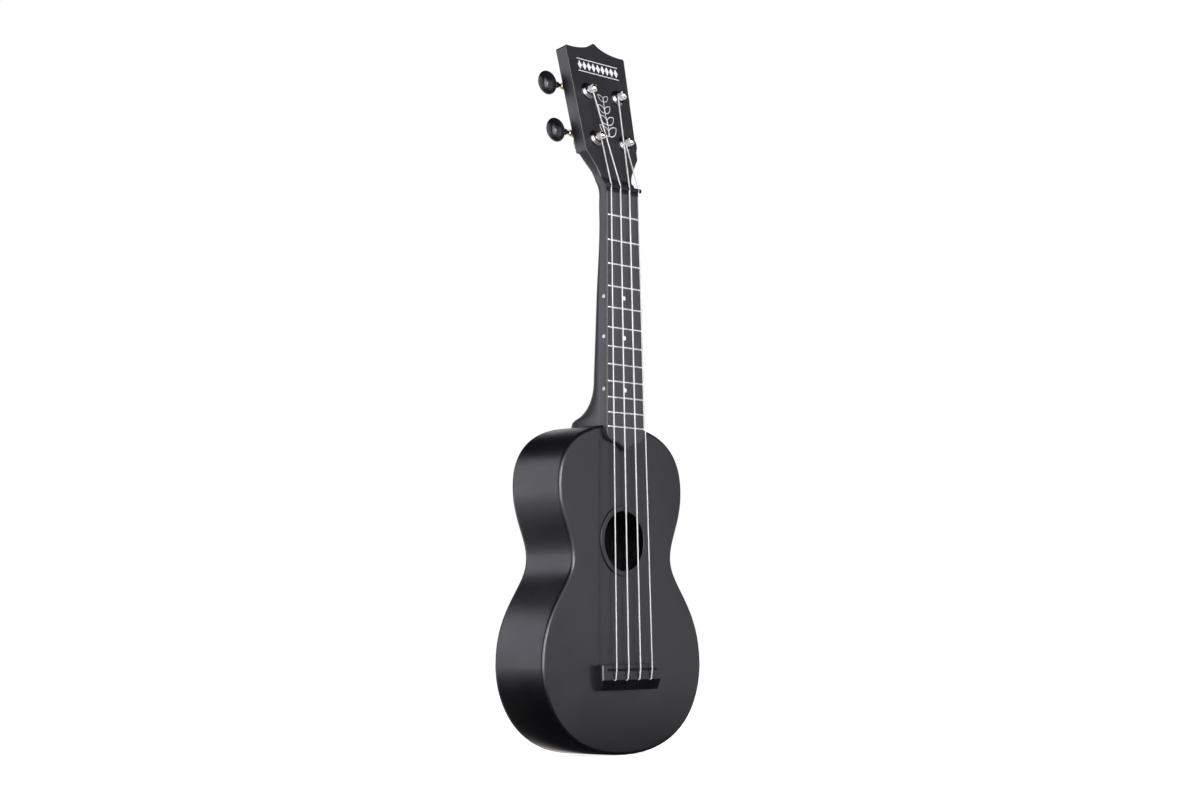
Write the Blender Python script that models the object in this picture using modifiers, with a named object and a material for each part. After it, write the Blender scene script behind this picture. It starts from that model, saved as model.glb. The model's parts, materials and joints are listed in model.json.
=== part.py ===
# Soprano ukulele with a moulded body, in the pieces that come apart on a bench.
# Units are metres. X runs across the strings, -Y is the players' side of the soundboard,
# and Z runs from the tail to the headstock. The origin is where a wall hanger's yoke
# carries the instrument, under the flare of the headstock.
# Most sizes are given in the body's own frame, whose zero is the tail end of the
# centre line on the front face of the soundboard.
import math

import bmesh
import bpy
from mathutils import Matrix, Vector

# Strings and scale
SCALE_LENGTH = 0.346
FRET_COUNT = 12
STRING_DIAMETERS = (0.0009, 0.00105, 0.00105, 0.0009)
STRING_SPREAD_NUT = 0.0303
STRING_SPREAD_SADDLE = 0.0389
STRING_HEIGHT_NUT = 0.0022          # centre of a string above the fretboard
STRING_HEIGHT_SADDLE = 0.0088       # centre of a string above the soundboard

# Body outline
BODY_LENGTH = 0.2355
FRET_TO_BODY_EDGE = 0.0021          # twelfth fret below the body's upper edge
LOWER_BOUT_WIDTH = 0.1726
LOWER_BOUT_HEIGHT = 0.0636
WAIST_WIDTH = 0.1076
WAIST_HEIGHT = 0.1397
UPPER_BOUT_WIDTH = 0.1342
UPPER_BOUT_HEIGHT = 0.1894
TAIL_HANDLE = 0.0825                # the handles are those of four Bezier arcs
LOWER_HANDLES = (0.0097, 0.0428)
WAIST_HANDLES = (0.0197, 0.0145)
UPPER_HANDLES = (0.0225, 0.0121)
TOP_HANDLE = 0.0651
OUTLINE_STEPS = (8, 7, 6, 8)

# Body shells
SIDE_DEPTH = 0.0484
BACK_ARCH = 0.0080
WALL = 0.0020
BACK_EDGE_RADIUS = 0.0050
FRONT_EDGE_RADIUS = 0.0025
SOUNDBOARD_THICKNESS = 0.0022
SEAM_DEPTH = 0.0035
LIP_DEPTH = 0.0035
LIP_THICKNESS = 0.0012
HOLE_HEIGHT = 0.1520
HOLE_RADIUS = 0.0214
RING_RADIUS = 0.0255
RING_HEIGHT = 0.0009
RIB_DEPTH = 0.0045
RIB_THICKNESS = 0.0030
RIB_LENGTH = 0.0920
RIB_FROM_RING = 0.0070
PAD_THICKNESS = 0.0015
BLOCK_WIDTH = 0.0360
BLOCK_LENGTH = 0.0120
BLOCK_FRONT = 0.0090
BLOCK_BACK = 0.0340

# Neck and headstock
NUT_WIDTH = 0.0345
JOINT_WIDTH = 0.0410                # fretboard at the twelfth fret
NECK_SIDE = 0.0026                  # flat side below the fretboard
NECK_DEPTH_NUT = 0.0110
NECK_DEPTH_HEEL = 0.0216
HEEL_LENGTH = 0.0325
HEEL_DEPTH = 0.0480
NECK_ROUNDNESS = 1.7
NECK_EDGE = 0.00012
SHOULDER = 0.0028                   # neck top past the nut's face
RAMP_LENGTH = 0.0075                # from behind the nut down to the headstock's face
HEAD_TILT = math.radians(11.1)
HEAD_DROP = 0.0003                  # headstock face behind the neck's top at the nut
HEAD_THICKNESS = 0.0101
HEAD_LOWER_WIDTH = 0.0576
HEAD_LOWER_REACH = 0.0282
HEAD_UPPER_WIDTH = 0.0656
HEAD_CORNER_REACH = 0.1091
HEAD_PEAK_REACH = 0.1158
HEAD_EDGE = 0.0006

# Fretboard, frets, nut, bridge and saddle
FRETBOARD_THICKNESS = 0.0034
FRETBOARD_EDGE = 0.0008
EXTENSION_SHOULDER = 0.0106
EXTENSION_TIP = 0.0168
DOT_FRETS = (5, 7, 10)
DOT_RADIUS = 0.0016
DOT_DEPTH = 0.0005
FRET_WIDTH = 0.0015
FRET_HEIGHT = 0.0007
FRET_SHORT = 0.0009                 # from the end of a fret to the side of the fretboard
TANG_WIDTH = 0.0005
TANG_DEPTH = 0.0010
NUT_LEDGE = 0.0024
NUT_RIDGE = 0.0030
NUT_RIDGE_HEIGHT = 0.0029           # ridge above the fretboard
NUT_OVERHANG = 0.0006
BRIDGE_WIDTH = 0.0640
BRIDGE_HEIGHT = 0.0070
BRIDGE_ABOVE_SADDLE = 0.0034
BRIDGE_FLAT = 0.0105
BRIDGE_BEVEL_LENGTH = 0.0073
BRIDGE_BEVEL_DROP = 0.0022
BRIDGE_CHAMFER = 0.0020
SLOT_WIDTH = 0.0017
KNOT_RADIUS = 0.0012
SADDLE_WIDTH = 0.0520
SADDLE_THICKNESS = 0.0021
SADDLE_SEAT = 0.0042                # foot of the saddle above the soundboard

# Tuners; reaches run up the headstock's face from the nut
POST_PLACES = (("1", -0.0160, 0.0389), ("2", -0.0166, 0.0755),
               ("3", 0.0166, 0.0755), ("4", 0.0160, 0.0389))
POST_RADIUS = 0.0031
POST_WAIST_RADIUS = 0.0027
POST_TIP = 0.0090
WINDING_START = 0.0035
WINDING_PITCH = 0.00162
WINDING_TURNS = 2
STRING_TAIL = 0.0022
BUSHING_RADIUS = 0.0062
BUSHING_RIM = 0.0012
BUSHING_TOP_RADIUS = 0.0046
BUSHING_HEIGHT = 0.0026
SLEEVE_RADIUS = 0.0042
SLEEVE_LENGTH = 0.0060
PLATE_THICKNESS = 0.0010
PLATE_WIDTH = 0.0132
PLATE_BELOW_POST = 0.0112
PLATE_ABOVE_POST = 0.0182
PLATE_SCREW_INSET = 0.0034
PLATE_SCREW_RADIUS = 0.0010
PLATE_SCREW_LENGTH = 0.0065
GEAR_TEETH = 18
GEAR_PITCH_RADIUS = 0.0055
TOOTH_ABOVE_PITCH = 0.00065
TOOTH_BELOW_PITCH = 0.00070
TOOTH_HALF_WIDTHS = (0.00057, 0.00022)      # at the root and at the tip
GEAR_THICKNESS = 0.0026
GEAR_STAND_OFF = 0.0031             # front of the gear behind the plate
SQUARE_END = 0.0036
WORM_DISTANCE = 0.0082              # worm axis to post axis
WORM_CORE_RADIUS = 0.0018
WORM_RADIUS = 0.00332
WORM_HALF_WIDTHS = (0.00052, 0.00023)       # of the thread, at the core and at its crest
WORM_TURNS = 3
SHAFT_RADIUS = 0.0015
COLLAR_RADIUS = 0.0025
COLLAR_LENGTH = 0.0036
EAR_GAP = 0.0112
EAR_THICKNESS = 0.0010
EAR_WIDTH = 0.0064
EAR_BASE_WIDTH = 0.0118
BUTTON_FROM_POST = 0.0243
BUTTON_LENGTH = 0.0144
BUTTON_TALL = 0.0182
BUTTON_THICK = 0.0108
BUTTON_NECK = 0.0036
BUTTON_NECK_RADIUS = 0.0024
SHAFT_IN_BUTTON = 0.0100

# Neck bolt
BOLT_RADIUS = 0.0017
BOLT_HEAD_RADIUS = 0.0036
BOLT_HEAD_HEIGHT = 0.0024
BOLT_DEPTH = 0.0160                 # bolt axis behind the soundboard's face
BOLT_IN_HEEL = 0.0120

# Clearances and the place where the instrument hangs
GAP = 0.0003
FINE_GAP = 0.00015
HANGER_REACH = 0.0165

NUT_Z = BODY_LENGTH - FRET_TO_BODY_EDGE + SCALE_LENGTH / 2
SADDLE_Z = NUT_Z - SCALE_LENGTH
FRETBOARD_TOP = -(GAP + FRETBOARD_THICKNESS)
STRING_Y_NUT = FRETBOARD_TOP - STRING_HEIGHT_NUT
WORM_PITCH = 2 * math.pi * GEAR_PITCH_RADIUS / GEAR_TEETH
PLATE_BACK = -(HEAD_THICKNESS + GAP + PLATE_THICKNESS)
GEAR_FRONT = PLATE_BACK - GEAR_STAND_OFF
WORM_LEVEL = GEAR_FRONT - GEAR_THICKNESS / 2
HEAD_FRAME = (Matrix.Translation((0, HEAD_DROP, NUT_Z))
              @ Matrix.Rotation(math.pi / 2 - HEAD_TILT, 4, "X"))
HANGER = HEAD_FRAME @ Vector((0, HANGER_REACH, -HEAD_THICKNESS / 2))
UPRIGHT = Matrix.Rotation(math.pi / 2, 4, "X")


def clear_scene():
    for old in list(bpy.data.objects):
        bpy.data.objects.remove(old, do_unlink=True)


def add_collection(name):
    collection = bpy.data.collections.new(name)
    bpy.context.scene.collection.children.link(collection)
    return collection


def principled(name, colour, roughness, metallic=0.0):
    made = bpy.data.materials.new(name)
    made.use_nodes = True
    shader = made.node_tree.nodes["Principled BSDF"]
    shader.inputs["Base Color"].default_value = (*colour, 1)
    shader.inputs["Roughness"].default_value = roughness
    shader.inputs["Metallic"].default_value = metallic
    return made


def body_plastic(name):
    return principled(name, (0.047, 0.048, 0.052), 0.42)


def nickel(name):
    return principled(name, (0.66, 0.63, 0.58), 0.22, 1.0)


def gloss_black(name):
    return principled(name, (0.012, 0.012, 0.014), 0.18)


def nylon(name):
    return principled(name, (0.80, 0.79, 0.77), 0.35)


def add_empty(name, parent, matrix):
    empty = bpy.data.objects.new(name, None)
    parts.objects.link(empty)
    empty.parent = parent
    empty.matrix_local = matrix
    return empty


def add_part(name, mesh, finish, parent, matrix=None):
    part = bpy.data.objects.new(name, mesh)
    parts.objects.link(part)
    part.parent = parent
    part.matrix_local = matrix or Matrix()
    mesh.materials.clear()
    mesh.materials.append(finish(name))
    return part


def add_cutter(name, mesh, parent, matrix=None):
    cutter = bpy.data.objects.new(name, mesh)
    cutters.objects.link(cutter)
    cutter.parent = parent
    cutter.matrix_local = matrix or Matrix()
    cutter.hide_render = True
    cutter.display_type = "WIRE"
    return cutter


def boolean(part, tool, operation):
    modifier = part.modifiers.new(tool.name, "BOOLEAN")
    modifier.operation = operation
    modifier.object = tool
    return modifier


def smooth(mesh, degrees=35):
    mesh.shade_smooth()
    mesh.set_sharp_from_angle(angle=math.radians(degrees))


def to_mesh(name, work):
    mesh = bpy.data.meshes.new(name)
    work.to_mesh(mesh)
    work.free()
    return mesh


def joined(name, meshes):
    work = bmesh.new()
    for mesh in meshes:
        work.from_mesh(mesh)
    return to_mesh(name, work)


def box(name, low, high):
    work = bmesh.new()
    size = Vector(high) - Vector(low)
    middle = (Vector(high) + Vector(low)) / 2
    bmesh.ops.create_cube(work, size=1, matrix=Matrix.Translation(middle) @ Matrix.Diagonal((*size, 1)))
    return to_mesh(name, work)


def cylinder(name, radius, low, high, matrix=None, sides=16):
    work = bmesh.new()
    place = (matrix or Matrix()) @ Matrix.Translation((0, 0, (low + high) / 2))
    bmesh.ops.create_cone(work, cap_ends=True, segments=sides, radius1=radius, radius2=radius,
                          depth=high - low, matrix=place)
    return to_mesh(name, work)


# A turned solid; the profile is a list of radius and height, top to bottom on its outer side.
def turned(name, profile, sides=16, closed=False, matrix=None):
    mesh = bpy.data.meshes.new(name)
    count = len(profile)
    edges = [(i, i + 1) for i in range(count - 1)]
    if closed:
        edges.append((count - 1, 0))
    mesh.from_pydata([(radius, 0, height) for radius, height in profile], edges, [])
    guide = bpy.data.objects.new(name, mesh)
    cutters.objects.link(guide)
    screw = guide.modifiers.new("Turn", "SCREW")
    screw.steps = sides
    screw.render_steps = sides
    screw.use_merge_vertices = True
    screw.merge_threshold = 0.00001
    return baked(guide, name, matrix)


# The evaluated shape of a guide object as a plain mesh, with its loose caps welded.
def baked(guide, name, matrix=None):
    bpy.context.view_layer.update()
    source = guide.evaluated_get(bpy.context.evaluated_depsgraph_get())
    mesh = bpy.data.meshes.new_from_object(source)
    mesh.name = name
    work = bmesh.new()
    work.from_mesh(mesh)
    bmesh.ops.remove_doubles(work, verts=work.verts, dist=0.000002)
    bmesh.ops.transform(work, matrix=(matrix or Matrix()) @ guide.matrix_world, verts=work.verts)
    work.to_mesh(mesh)
    work.free()
    data = guide.data
    bpy.data.objects.remove(guide, do_unlink=True)
    if isinstance(data, bpy.types.Curve):
        bpy.data.curves.remove(data)
    else:
        bpy.data.meshes.remove(data)
    return mesh


# A flat outline in X and Y, given a thickness along Z.
def flat_solid(name, outline, low, high, matrix=None):
    curve = bpy.data.curves.new(name, "CURVE")
    curve.dimensions = "2D"
    curve.fill_mode = "BOTH"
    curve.extrude = (high - low) / 2
    spline = curve.splines.new("POLY")
    spline.points.add(len(outline) - 1)
    spline.use_cyclic_u = True
    for point, (x, y) in zip(spline.points, outline):
        point.co = (x, y, 0, 1)
    guide = bpy.data.objects.new(name, curve)
    cutters.objects.link(guide)
    return baked(guide, name, (matrix or Matrix()) @ Matrix.Translation((0, 0, (low + high) / 2)))


# A skin through rings of points. An end is closed flat, gathered to one point, or left open.
def loft(name, rings, closed_start=True, closed_end=True):
    work = bmesh.new()
    rows = [[work.verts.new(point) for point in ring] for ring in rings]
    for near, far in zip(rows, rows[1:]):
        count = len(near)
        for i in range(count):
            j = (i + 1) % count
            if len(far) == 1:
                work.faces.new((near[i], near[j], far[0]))
            else:
                work.faces.new((near[i], near[j], far[j], far[i]))
    if closed_start:
        work.faces.new(list(reversed(rows[0])))
    if closed_end and len(rows[-1]) > 1:
        work.faces.new(rows[-1])
    bmesh.ops.recalc_face_normals(work, faces=work.faces)
    return to_mesh(name, work)


def bezier(start, first, second, end, steps):
    points = []
    for i in range(1, steps + 1):
        t = i / steps
        weights = ((1 - t) ** 3, 3 * t * (1 - t) ** 2, 3 * t * t * (1 - t), t ** 3)
        points.append(sum((w * Vector(p) for w, p in zip(weights, (start, first, second, end))),
                          Vector((0,) * len(start))))
    return points


# The body's outline in X and Z, seen from the front, moved inwards by an inset.
def body_outline(inset=0.0):
    tail = (0, 0)
    lower = (LOWER_BOUT_WIDTH / 2, LOWER_BOUT_HEIGHT)
    waist = (WAIST_WIDTH / 2, WAIST_HEIGHT)
    upper = (UPPER_BOUT_WIDTH / 2, UPPER_BOUT_HEIGHT)
    top = (0, BODY_LENGTH)
    right = [Vector(tail)]
    right += bezier(tail, (TAIL_HANDLE, 0), (lower[0], lower[1] - LOWER_HANDLES[0]), lower,
                    OUTLINE_STEPS[0])
    right += bezier(lower, (lower[0], lower[1] + LOWER_HANDLES[1]),
                    (waist[0], waist[1] - WAIST_HANDLES[0]), waist, OUTLINE_STEPS[1])
    right += bezier(waist, (waist[0], waist[1] + WAIST_HANDLES[1]),
                    (upper[0], upper[1] - UPPER_HANDLES[0]), upper, OUTLINE_STEPS[2])
    right += bezier(upper, (upper[0], upper[1] + UPPER_HANDLES[1]), (TOP_HANDLE, top[1]), top,
                    OUTLINE_STEPS[3])
    points = right + [Vector((-p.x, p.y)) for p in reversed(right[1:-1])]
    moved = []
    for i, point in enumerate(points):
        along = (points[(i + 1) % len(points)] - points[i - 1]).normalized()
        moved.append(point - inset * Vector((along.y, -along.x)))
    return moved


# A closed outline moved inwards; the sharp tip and the corners keep their places.
def moved_in(outline, inset):
    moved = []
    for i, point in enumerate(outline):
        before = (point - outline[i - 1]).normalized()
        after = (outline[(i + 1) % len(outline)] - point).normalized()
        along = (before + after).normalized()
        reach = inset / max(0.6, along.dot(after))
        moved.append(point - reach * Vector((along.y, -along.x)))
    return moved


def body_ring(inset, depth):
    return [(p.x, depth, p.y) for p in body_outline(inset)]


def make_soundboard():
    quarter = [math.radians(angle) for angle in (0, 30, 60, 90)]
    rings = [body_ring(FRONT_EDGE_RADIUS * (1 - math.sin(a)), FRONT_EDGE_RADIUS * (1 - math.cos(a)))
             for a in quarter]
    lip = WALL + GAP
    rings.append(body_ring(0, SEAM_DEPTH))
    rings.append(body_ring(lip, SEAM_DEPTH))
    rings.append(body_ring(lip, SEAM_DEPTH + LIP_DEPTH))
    rings.append(body_ring(lip + LIP_THICKNESS, SEAM_DEPTH + LIP_DEPTH))
    rings.append(body_ring(lip + LIP_THICKNESS, SOUNDBOARD_THICKNESS))
    mesh = loft("soundboard", rings)
    board = add_part("soundboard", mesh, body_plastic, model)
    hole = Matrix.Translation((0, 0, HOLE_HEIGHT)) @ UPRIGHT
    inside = SOUNDBOARD_THICKNESS / 2
    ring = turned("ring", [(0, RING_HEIGHT), (RING_RADIUS - 0.7 * RING_HEIGHT, RING_HEIGHT),
                           (RING_RADIUS, 0.4 * RING_HEIGHT), (RING_RADIUS, -inside), (0, -inside)],
                  36, matrix=hole)
    rib = RIB_THICKNESS / 2
    stiffeners = [ring]
    for side in (-1, 1):
        height = HOLE_HEIGHT + side * (RING_RADIUS + RIB_FROM_RING)
        stiffeners.append(box("rib", (-RIB_LENGTH / 2, inside, height - rib),
                              (RIB_LENGTH / 2, SOUNDBOARD_THICKNESS + RIB_DEPTH, height + rib)))
    pad = BRIDGE_WIDTH / 2 + PAD_THICKNESS
    stiffeners.append(box("pad", (-pad, inside, SADDLE_Z - BRIDGE_FLAT - PAD_THICKNESS),
                          (pad, SOUNDBOARD_THICKNESS + PAD_THICKNESS, SADDLE_Z + BRIDGE_FLAT)))
    boolean(board, add_cutter("stiffeners", joined("stiffeners", stiffeners), model), "UNION")
    edge = 0.8 * RING_HEIGHT
    drill = turned("hole", [(0, RING_HEIGHT + edge), (HOLE_RADIUS + 2 * edge, RING_HEIGHT + edge),
                            (HOLE_RADIUS, RING_HEIGHT - edge), (HOLE_RADIUS, -BACK_ARCH),
                            (0, -BACK_ARCH)], 36, matrix=hole)
    boolean(board, add_cutter("hole", drill, model), "DIFFERENCE")


def make_back_shell():
    rings = [body_ring(0, SEAM_DEPTH + GAP), body_ring(0, SIDE_DEPTH - BACK_EDGE_RADIUS)]
    for angle in (30, 60, 90):
        a = math.radians(angle)
        rings.append(body_ring(BACK_EDGE_RADIUS * (1 - math.cos(a)),
                               SIDE_DEPTH - BACK_EDGE_RADIUS * (1 - math.sin(a))))
    middle = Vector((0, 0, BODY_LENGTH / 2))
    edge = [Vector((x, 0, z)) for x, _, z in rings[-1]]
    for share in (0.75, 0.45, 0):
        deep = Vector((0, SIDE_DEPTH + BACK_ARCH * (1 - share ** 2), 0))
        ring = [middle + deep + share * (point - middle) for point in edge]
        rings.append(ring if share else ring[:1])
    mesh = loft("back_shell", rings, closed_start=False, closed_end=False)
    shell = add_part("back_shell", mesh, body_plastic, model)
    wall = shell.modifiers.new("Wall", "SOLIDIFY")
    wall.thickness = WALL
    wall.offset = -1
    wall.use_even_offset = True
    block = box("neck_block", (-BLOCK_WIDTH / 2, BLOCK_FRONT, BODY_LENGTH - WALL - BLOCK_LENGTH),
                (BLOCK_WIDTH / 2, BLOCK_BACK, BODY_LENGTH - 0.7 * WALL))
    boolean(shell, add_cutter("neck_block", block, model), "UNION")
    drill = cylinder("bolt_way", BOLT_RADIUS + GAP, BODY_LENGTH - 2 * BLOCK_LENGTH,
                     BODY_LENGTH + BLOCK_LENGTH, Matrix.Translation((0, BOLT_DEPTH, 0)))
    boolean(shell, add_cutter("bolt_way", drill, model), "DIFFERENCE")


def fretboard_half_width(height):
    joint = NUT_Z - SCALE_LENGTH / 2
    share = (NUT_Z - height) / (NUT_Z - joint)
    return (NUT_WIDTH + (JOINT_WIDTH - NUT_WIDTH) * share) / 2


# One section of the neck: flat top, flat sides and a rounded back, as pairs of x and depth.
def neck_section(half_width, depth, roundness, edge):
    points = [(-half_width + edge, 0), (half_width - edge, 0), (half_width, edge)]
    rise = depth - NECK_SIDE
    for i in range(13):
        a = math.pi * i / 12
        across = math.copysign(abs(math.cos(a)) ** (2 / roundness), math.cos(a))
        points.append((half_width * across, NECK_SIDE + rise * math.sin(a) ** (2 / roundness)))
    points.append((-half_width, edge))
    return points


def upright_ring(height, half_width, depth, roundness):
    return [Vector((x, y, height)) for x, y in neck_section(half_width, depth, roundness, NECK_EDGE)]


def head_ring(reach, half_width, depth, roundness):
    section = neck_section(half_width, depth, roundness, HEAD_EDGE)
    return [HEAD_FRAME @ Vector((x, reach, -y)) for x, y in section]


def head_half_width(reach):
    share = (reach - HEAD_LOWER_REACH) / (HEAD_CORNER_REACH - HEAD_LOWER_REACH)
    return (HEAD_LOWER_WIDTH + (HEAD_UPPER_WIDTH - HEAD_LOWER_WIDTH) * share) / 2


# Depth of the heel against height, as two Bezier arcs from the neck to the heel's cap.
def heel_profile():
    top = BODY_LENGTH + HEEL_LENGTH
    bend = (BODY_LENGTH + 0.12 * HEEL_LENGTH, 0.79 * HEEL_DEPTH)
    start = (top, NECK_DEPTH_HEEL)
    profile = [Vector(start)]
    profile += bezier(start, (BODY_LENGTH + 0.57 * HEEL_LENGTH, NECK_DEPTH_HEEL + 0.0013),
                      (BODY_LENGTH + 0.215 * HEEL_LENGTH, 0.625 * HEEL_DEPTH), bend, 6)
    profile += bezier(bend, (BODY_LENGTH + 0.075 * HEEL_LENGTH, 0.875 * HEEL_DEPTH),
                      (BODY_LENGTH, 0.95 * HEEL_DEPTH),
                      (BODY_LENGTH - 0.14 * HEEL_LENGTH, HEEL_DEPTH), 4)
    return profile


# The outline of the crest: the corners, two hollow curves and the peak.
def crest_outline():
    half = HEAD_UPPER_WIDTH / 2
    corner = (half, HEAD_CORNER_REACH - 0.0016)
    tip = (half - 0.0022, HEAD_CORNER_REACH)
    peak = (0.0009, HEAD_PEAK_REACH)
    right = [Vector((half + 0.004, corner[1] - 0.004))] + [Vector(corner), Vector(tip)]
    right += bezier(tip, (0.67 * half, HEAD_CORNER_REACH - 0.0005),
                    (0.20 * half, HEAD_CORNER_REACH + 0.0015), peak, 7)
    left = [Vector((-p.x, p.y)) for p in reversed(right)]
    above = HEAD_PEAK_REACH + 0.02
    return right + left + [Vector((-half - 0.004, above)), Vector((half + 0.004, above))]


# The hollow ramp from fretboard height behind the nut down to the headstock's face.
def nut_ramp():
    top = FRETBOARD_TOP + GAP
    start = NUT_Z + NUT_RIDGE + GAP
    foot = HEAD_FRAME.inverted() @ Vector((0, 0, start + RAMP_LENGTH))
    low = (HEAD_FRAME @ Vector((0, foot.y, -0.0004))).y
    outline = [(low, start), (top, start), (top, start + 0.0004)]
    outline += [tuple(point) for point in
                bezier(outline[-1], (top + 0.42 * (low - top), start + 0.20 * RAMP_LENGTH),
                       (top + 0.75 * (low - top), start + 0.50 * RAMP_LENGTH),
                       (low, start + RAMP_LENGTH), 5)]
    return across_solid("ramp", outline, NUT_WIDTH / 2 - 0.0001)


def make_neck():
    rings = [upright_ring(height, fretboard_half_width(height), depth, NECK_ROUNDNESS)
             for height, depth in reversed(heel_profile())]
    slender = NUT_Z - 0.04 * SCALE_LENGTH
    heel_top = BODY_LENGTH + HEEL_LENGTH
    half_way = (slender + heel_top) / 2
    for height, depth in ((half_way, (NECK_DEPTH_NUT + NECK_DEPTH_HEEL) / 2),
                          (slender, NECK_DEPTH_NUT)):
        rings.append(upright_ring(height, fretboard_half_width(height), depth, NECK_ROUNDNESS))
    above_nut = NUT_Z + NUT_RIDGE + SHOULDER
    rings.append(upright_ring(above_nut, NUT_WIDTH / 2, HEAD_THICKNESS + 0.003, NECK_ROUNDNESS + 0.3))
    low = 0.3 * HEAD_LOWER_REACH
    flare = bezier((NUT_WIDTH / 2, low), (NUT_WIDTH / 2 + 0.0006, low + 0.0050),
                   (HEAD_LOWER_WIDTH / 2 - 0.0070, HEAD_LOWER_REACH - 0.0092),
                   (HEAD_LOWER_WIDTH / 2, HEAD_LOWER_REACH), 5)
    rings.append(head_ring(low, NUT_WIDTH / 2, HEAD_THICKNESS + 0.0022, NECK_ROUNDNESS + 0.5))
    for i, (half, reach) in enumerate(flare):
        roundness = NECK_ROUNDNESS + 0.8 + 0.5 * i * i
        extra = 0.0016 * (1 - i / 4)
        rings.append(head_ring(reach, half, HEAD_THICKNESS + extra, roundness))
    over = HEAD_PEAK_REACH + 0.004
    rings.append(head_ring(HEAD_LOWER_REACH + 0.001, head_half_width(HEAD_LOWER_REACH + 0.001),
                           HEAD_THICKNESS, 24))
    rings.append(head_ring(over, head_half_width(over), HEAD_THICKNESS, 24))
    mesh = loft("neck", rings)
    smooth(mesh)
    neck = add_part("neck", mesh, body_plastic, model)
    boolean(neck, add_cutter("ramp", nut_ramp(), model), "UNION")
    body = flat_solid("body_clearance", body_outline(-GAP), -2 * SIDE_DEPTH, SIDE_DEPTH, UPRIGHT)
    seat = cylinder("bolt_seat", BOLT_RADIUS + GAP, BODY_LENGTH - 0.4 * BLOCK_LENGTH,
                    BODY_LENGTH + BOLT_IN_HEEL + 2 * GAP, Matrix.Translation((0, BOLT_DEPTH, 0)))
    boolean(neck, merged_tools("heel_tools", [body, seat]), "DIFFERENCE")
    tools = [flat_solid("crest", crest_outline(), -2 * HEAD_THICKNESS, HEAD_THICKNESS, HEAD_FRAME)]
    for _, across, reach in POST_PLACES:
        place = HEAD_FRAME @ Matrix.Translation((across, reach, 0))
        tools.append(cylinder("post_way", SLEEVE_RADIUS + GAP, -2 * HEAD_THICKNESS, HEAD_THICKNESS,
                              place))
        for up in plate_screw_places():
            spot = place @ Matrix.Translation((0, up, 0))
            tools.append(cylinder("screw_way", PLATE_SCREW_RADIUS + GAP, -2 * HEAD_THICKNESS,
                                  GAP + PLATE_THICKNESS - HEAD_THICKNESS - GAP
                                  + PLATE_SCREW_LENGTH - 2 * PLATE_THICKNESS, spot, 8))
    boolean(neck, tools_object("head_tools", tools), "DIFFERENCE")


def tools_object(name, meshes):
    return add_cutter(name, joined(name, meshes), model)


def plate_screw_places():
    return (PLATE_SCREW_INSET - PLATE_BELOW_POST, PLATE_ABOVE_POST - PLATE_SCREW_INSET)


def make_neck_bolt():
    under = BODY_LENGTH - WALL - BLOCK_LENGTH - GAP
    tip = BODY_LENGTH + BOLT_IN_HEEL
    mesh = turned("neck_bolt", [(0, tip), (BOLT_RADIUS, tip - BOLT_RADIUS), (BOLT_RADIUS, under),
                                (BOLT_HEAD_RADIUS, under), (BOLT_HEAD_RADIUS, under - 0.7 * BOLT_HEAD_HEIGHT),
                                (0.6 * BOLT_HEAD_RADIUS, under - BOLT_HEAD_HEIGHT),
                                (0, under - BOLT_HEAD_HEIGHT)], 12)
    smooth(mesh)
    add_part("neck_bolt", mesh, nickel, model, Matrix.Translation((0, BOLT_DEPTH, 0)))


def fret_height(number):
    return NUT_Z - SCALE_LENGTH * (1 - 2 ** (-number / 12))


def fretboard_outline():
    joint = NUT_Z - SCALE_LENGTH / 2
    start = NUT_Z - NUT_LEDGE - GAP
    shoulder_top = joint - 0.15 * EXTENSION_SHOULDER
    wide = fretboard_half_width(shoulder_top)
    flat = (0.6 * wide, joint - EXTENSION_SHOULDER)
    right = [Vector((fretboard_half_width(start), start)), Vector((wide, shoulder_top))]
    right += bezier((wide, shoulder_top), (wide, joint - 0.65 * EXTENSION_SHOULDER),
                    (0.9 * wide, joint - 0.93 * EXTENSION_SHOULDER), flat, 5)
    right += bezier(flat, (0.32 * wide, joint - 1.05 * EXTENSION_SHOULDER),
                    (0.12 * wide, joint - 0.87 * EXTENSION_TIP), (0, joint - EXTENSION_TIP), 5)
    left = [Vector((-p.x, p.y)) for p in right[:-1]]
    return left + list(reversed(right))


def make_fretboard():
    outline = fretboard_outline()
    rings = [[(x, -GAP, z) for x, z in outline],
             [(x, FRETBOARD_TOP + FRETBOARD_EDGE, z) for x, z in outline],
             [(x, FRETBOARD_TOP, z) for x, z in moved_in(outline, FRETBOARD_EDGE)]]
    mesh = loft("fretboard", rings)
    board = add_part("fretboard", mesh, body_plastic, model)
    tools = []
    slot = TANG_WIDTH / 2 + FINE_GAP
    for number in range(1, FRET_COUNT + 1):
        height = fret_height(number)
        tools.append(box("slot", (-JOINT_WIDTH, FRETBOARD_TOP - GAP, height - slot),
                         (JOINT_WIDTH, FRETBOARD_TOP + TANG_DEPTH + FINE_GAP, height + slot)))
    for number in DOT_FRETS:
        middle = (fret_height(number) + fret_height(number - 1)) / 2
        place = Matrix.Translation((0, 0, middle)) @ UPRIGHT
        tools.append(cylinder("dot", DOT_RADIUS, -FRETBOARD_TOP - DOT_DEPTH, DOT_DEPTH - FRETBOARD_TOP,
                              place))
    boolean(board, tools_object("fret_slots", tools), "DIFFERENCE")


# A fret in section, as pairs of depth and height along the neck: a crown on a tang.
def fret_section():
    low = FRETBOARD_TOP - FINE_GAP
    tang = TANG_WIDTH / 2
    crown = [(low - FRET_HEIGHT * math.sin(a), FRET_WIDTH / 2 * math.cos(a))
             for a in (math.pi * i / 6 for i in range(7))]
    foot = FRETBOARD_TOP + TANG_DEPTH
    return crown + [(low, -tang), (foot, -tang), (foot, tang), (low, tang)]


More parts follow.
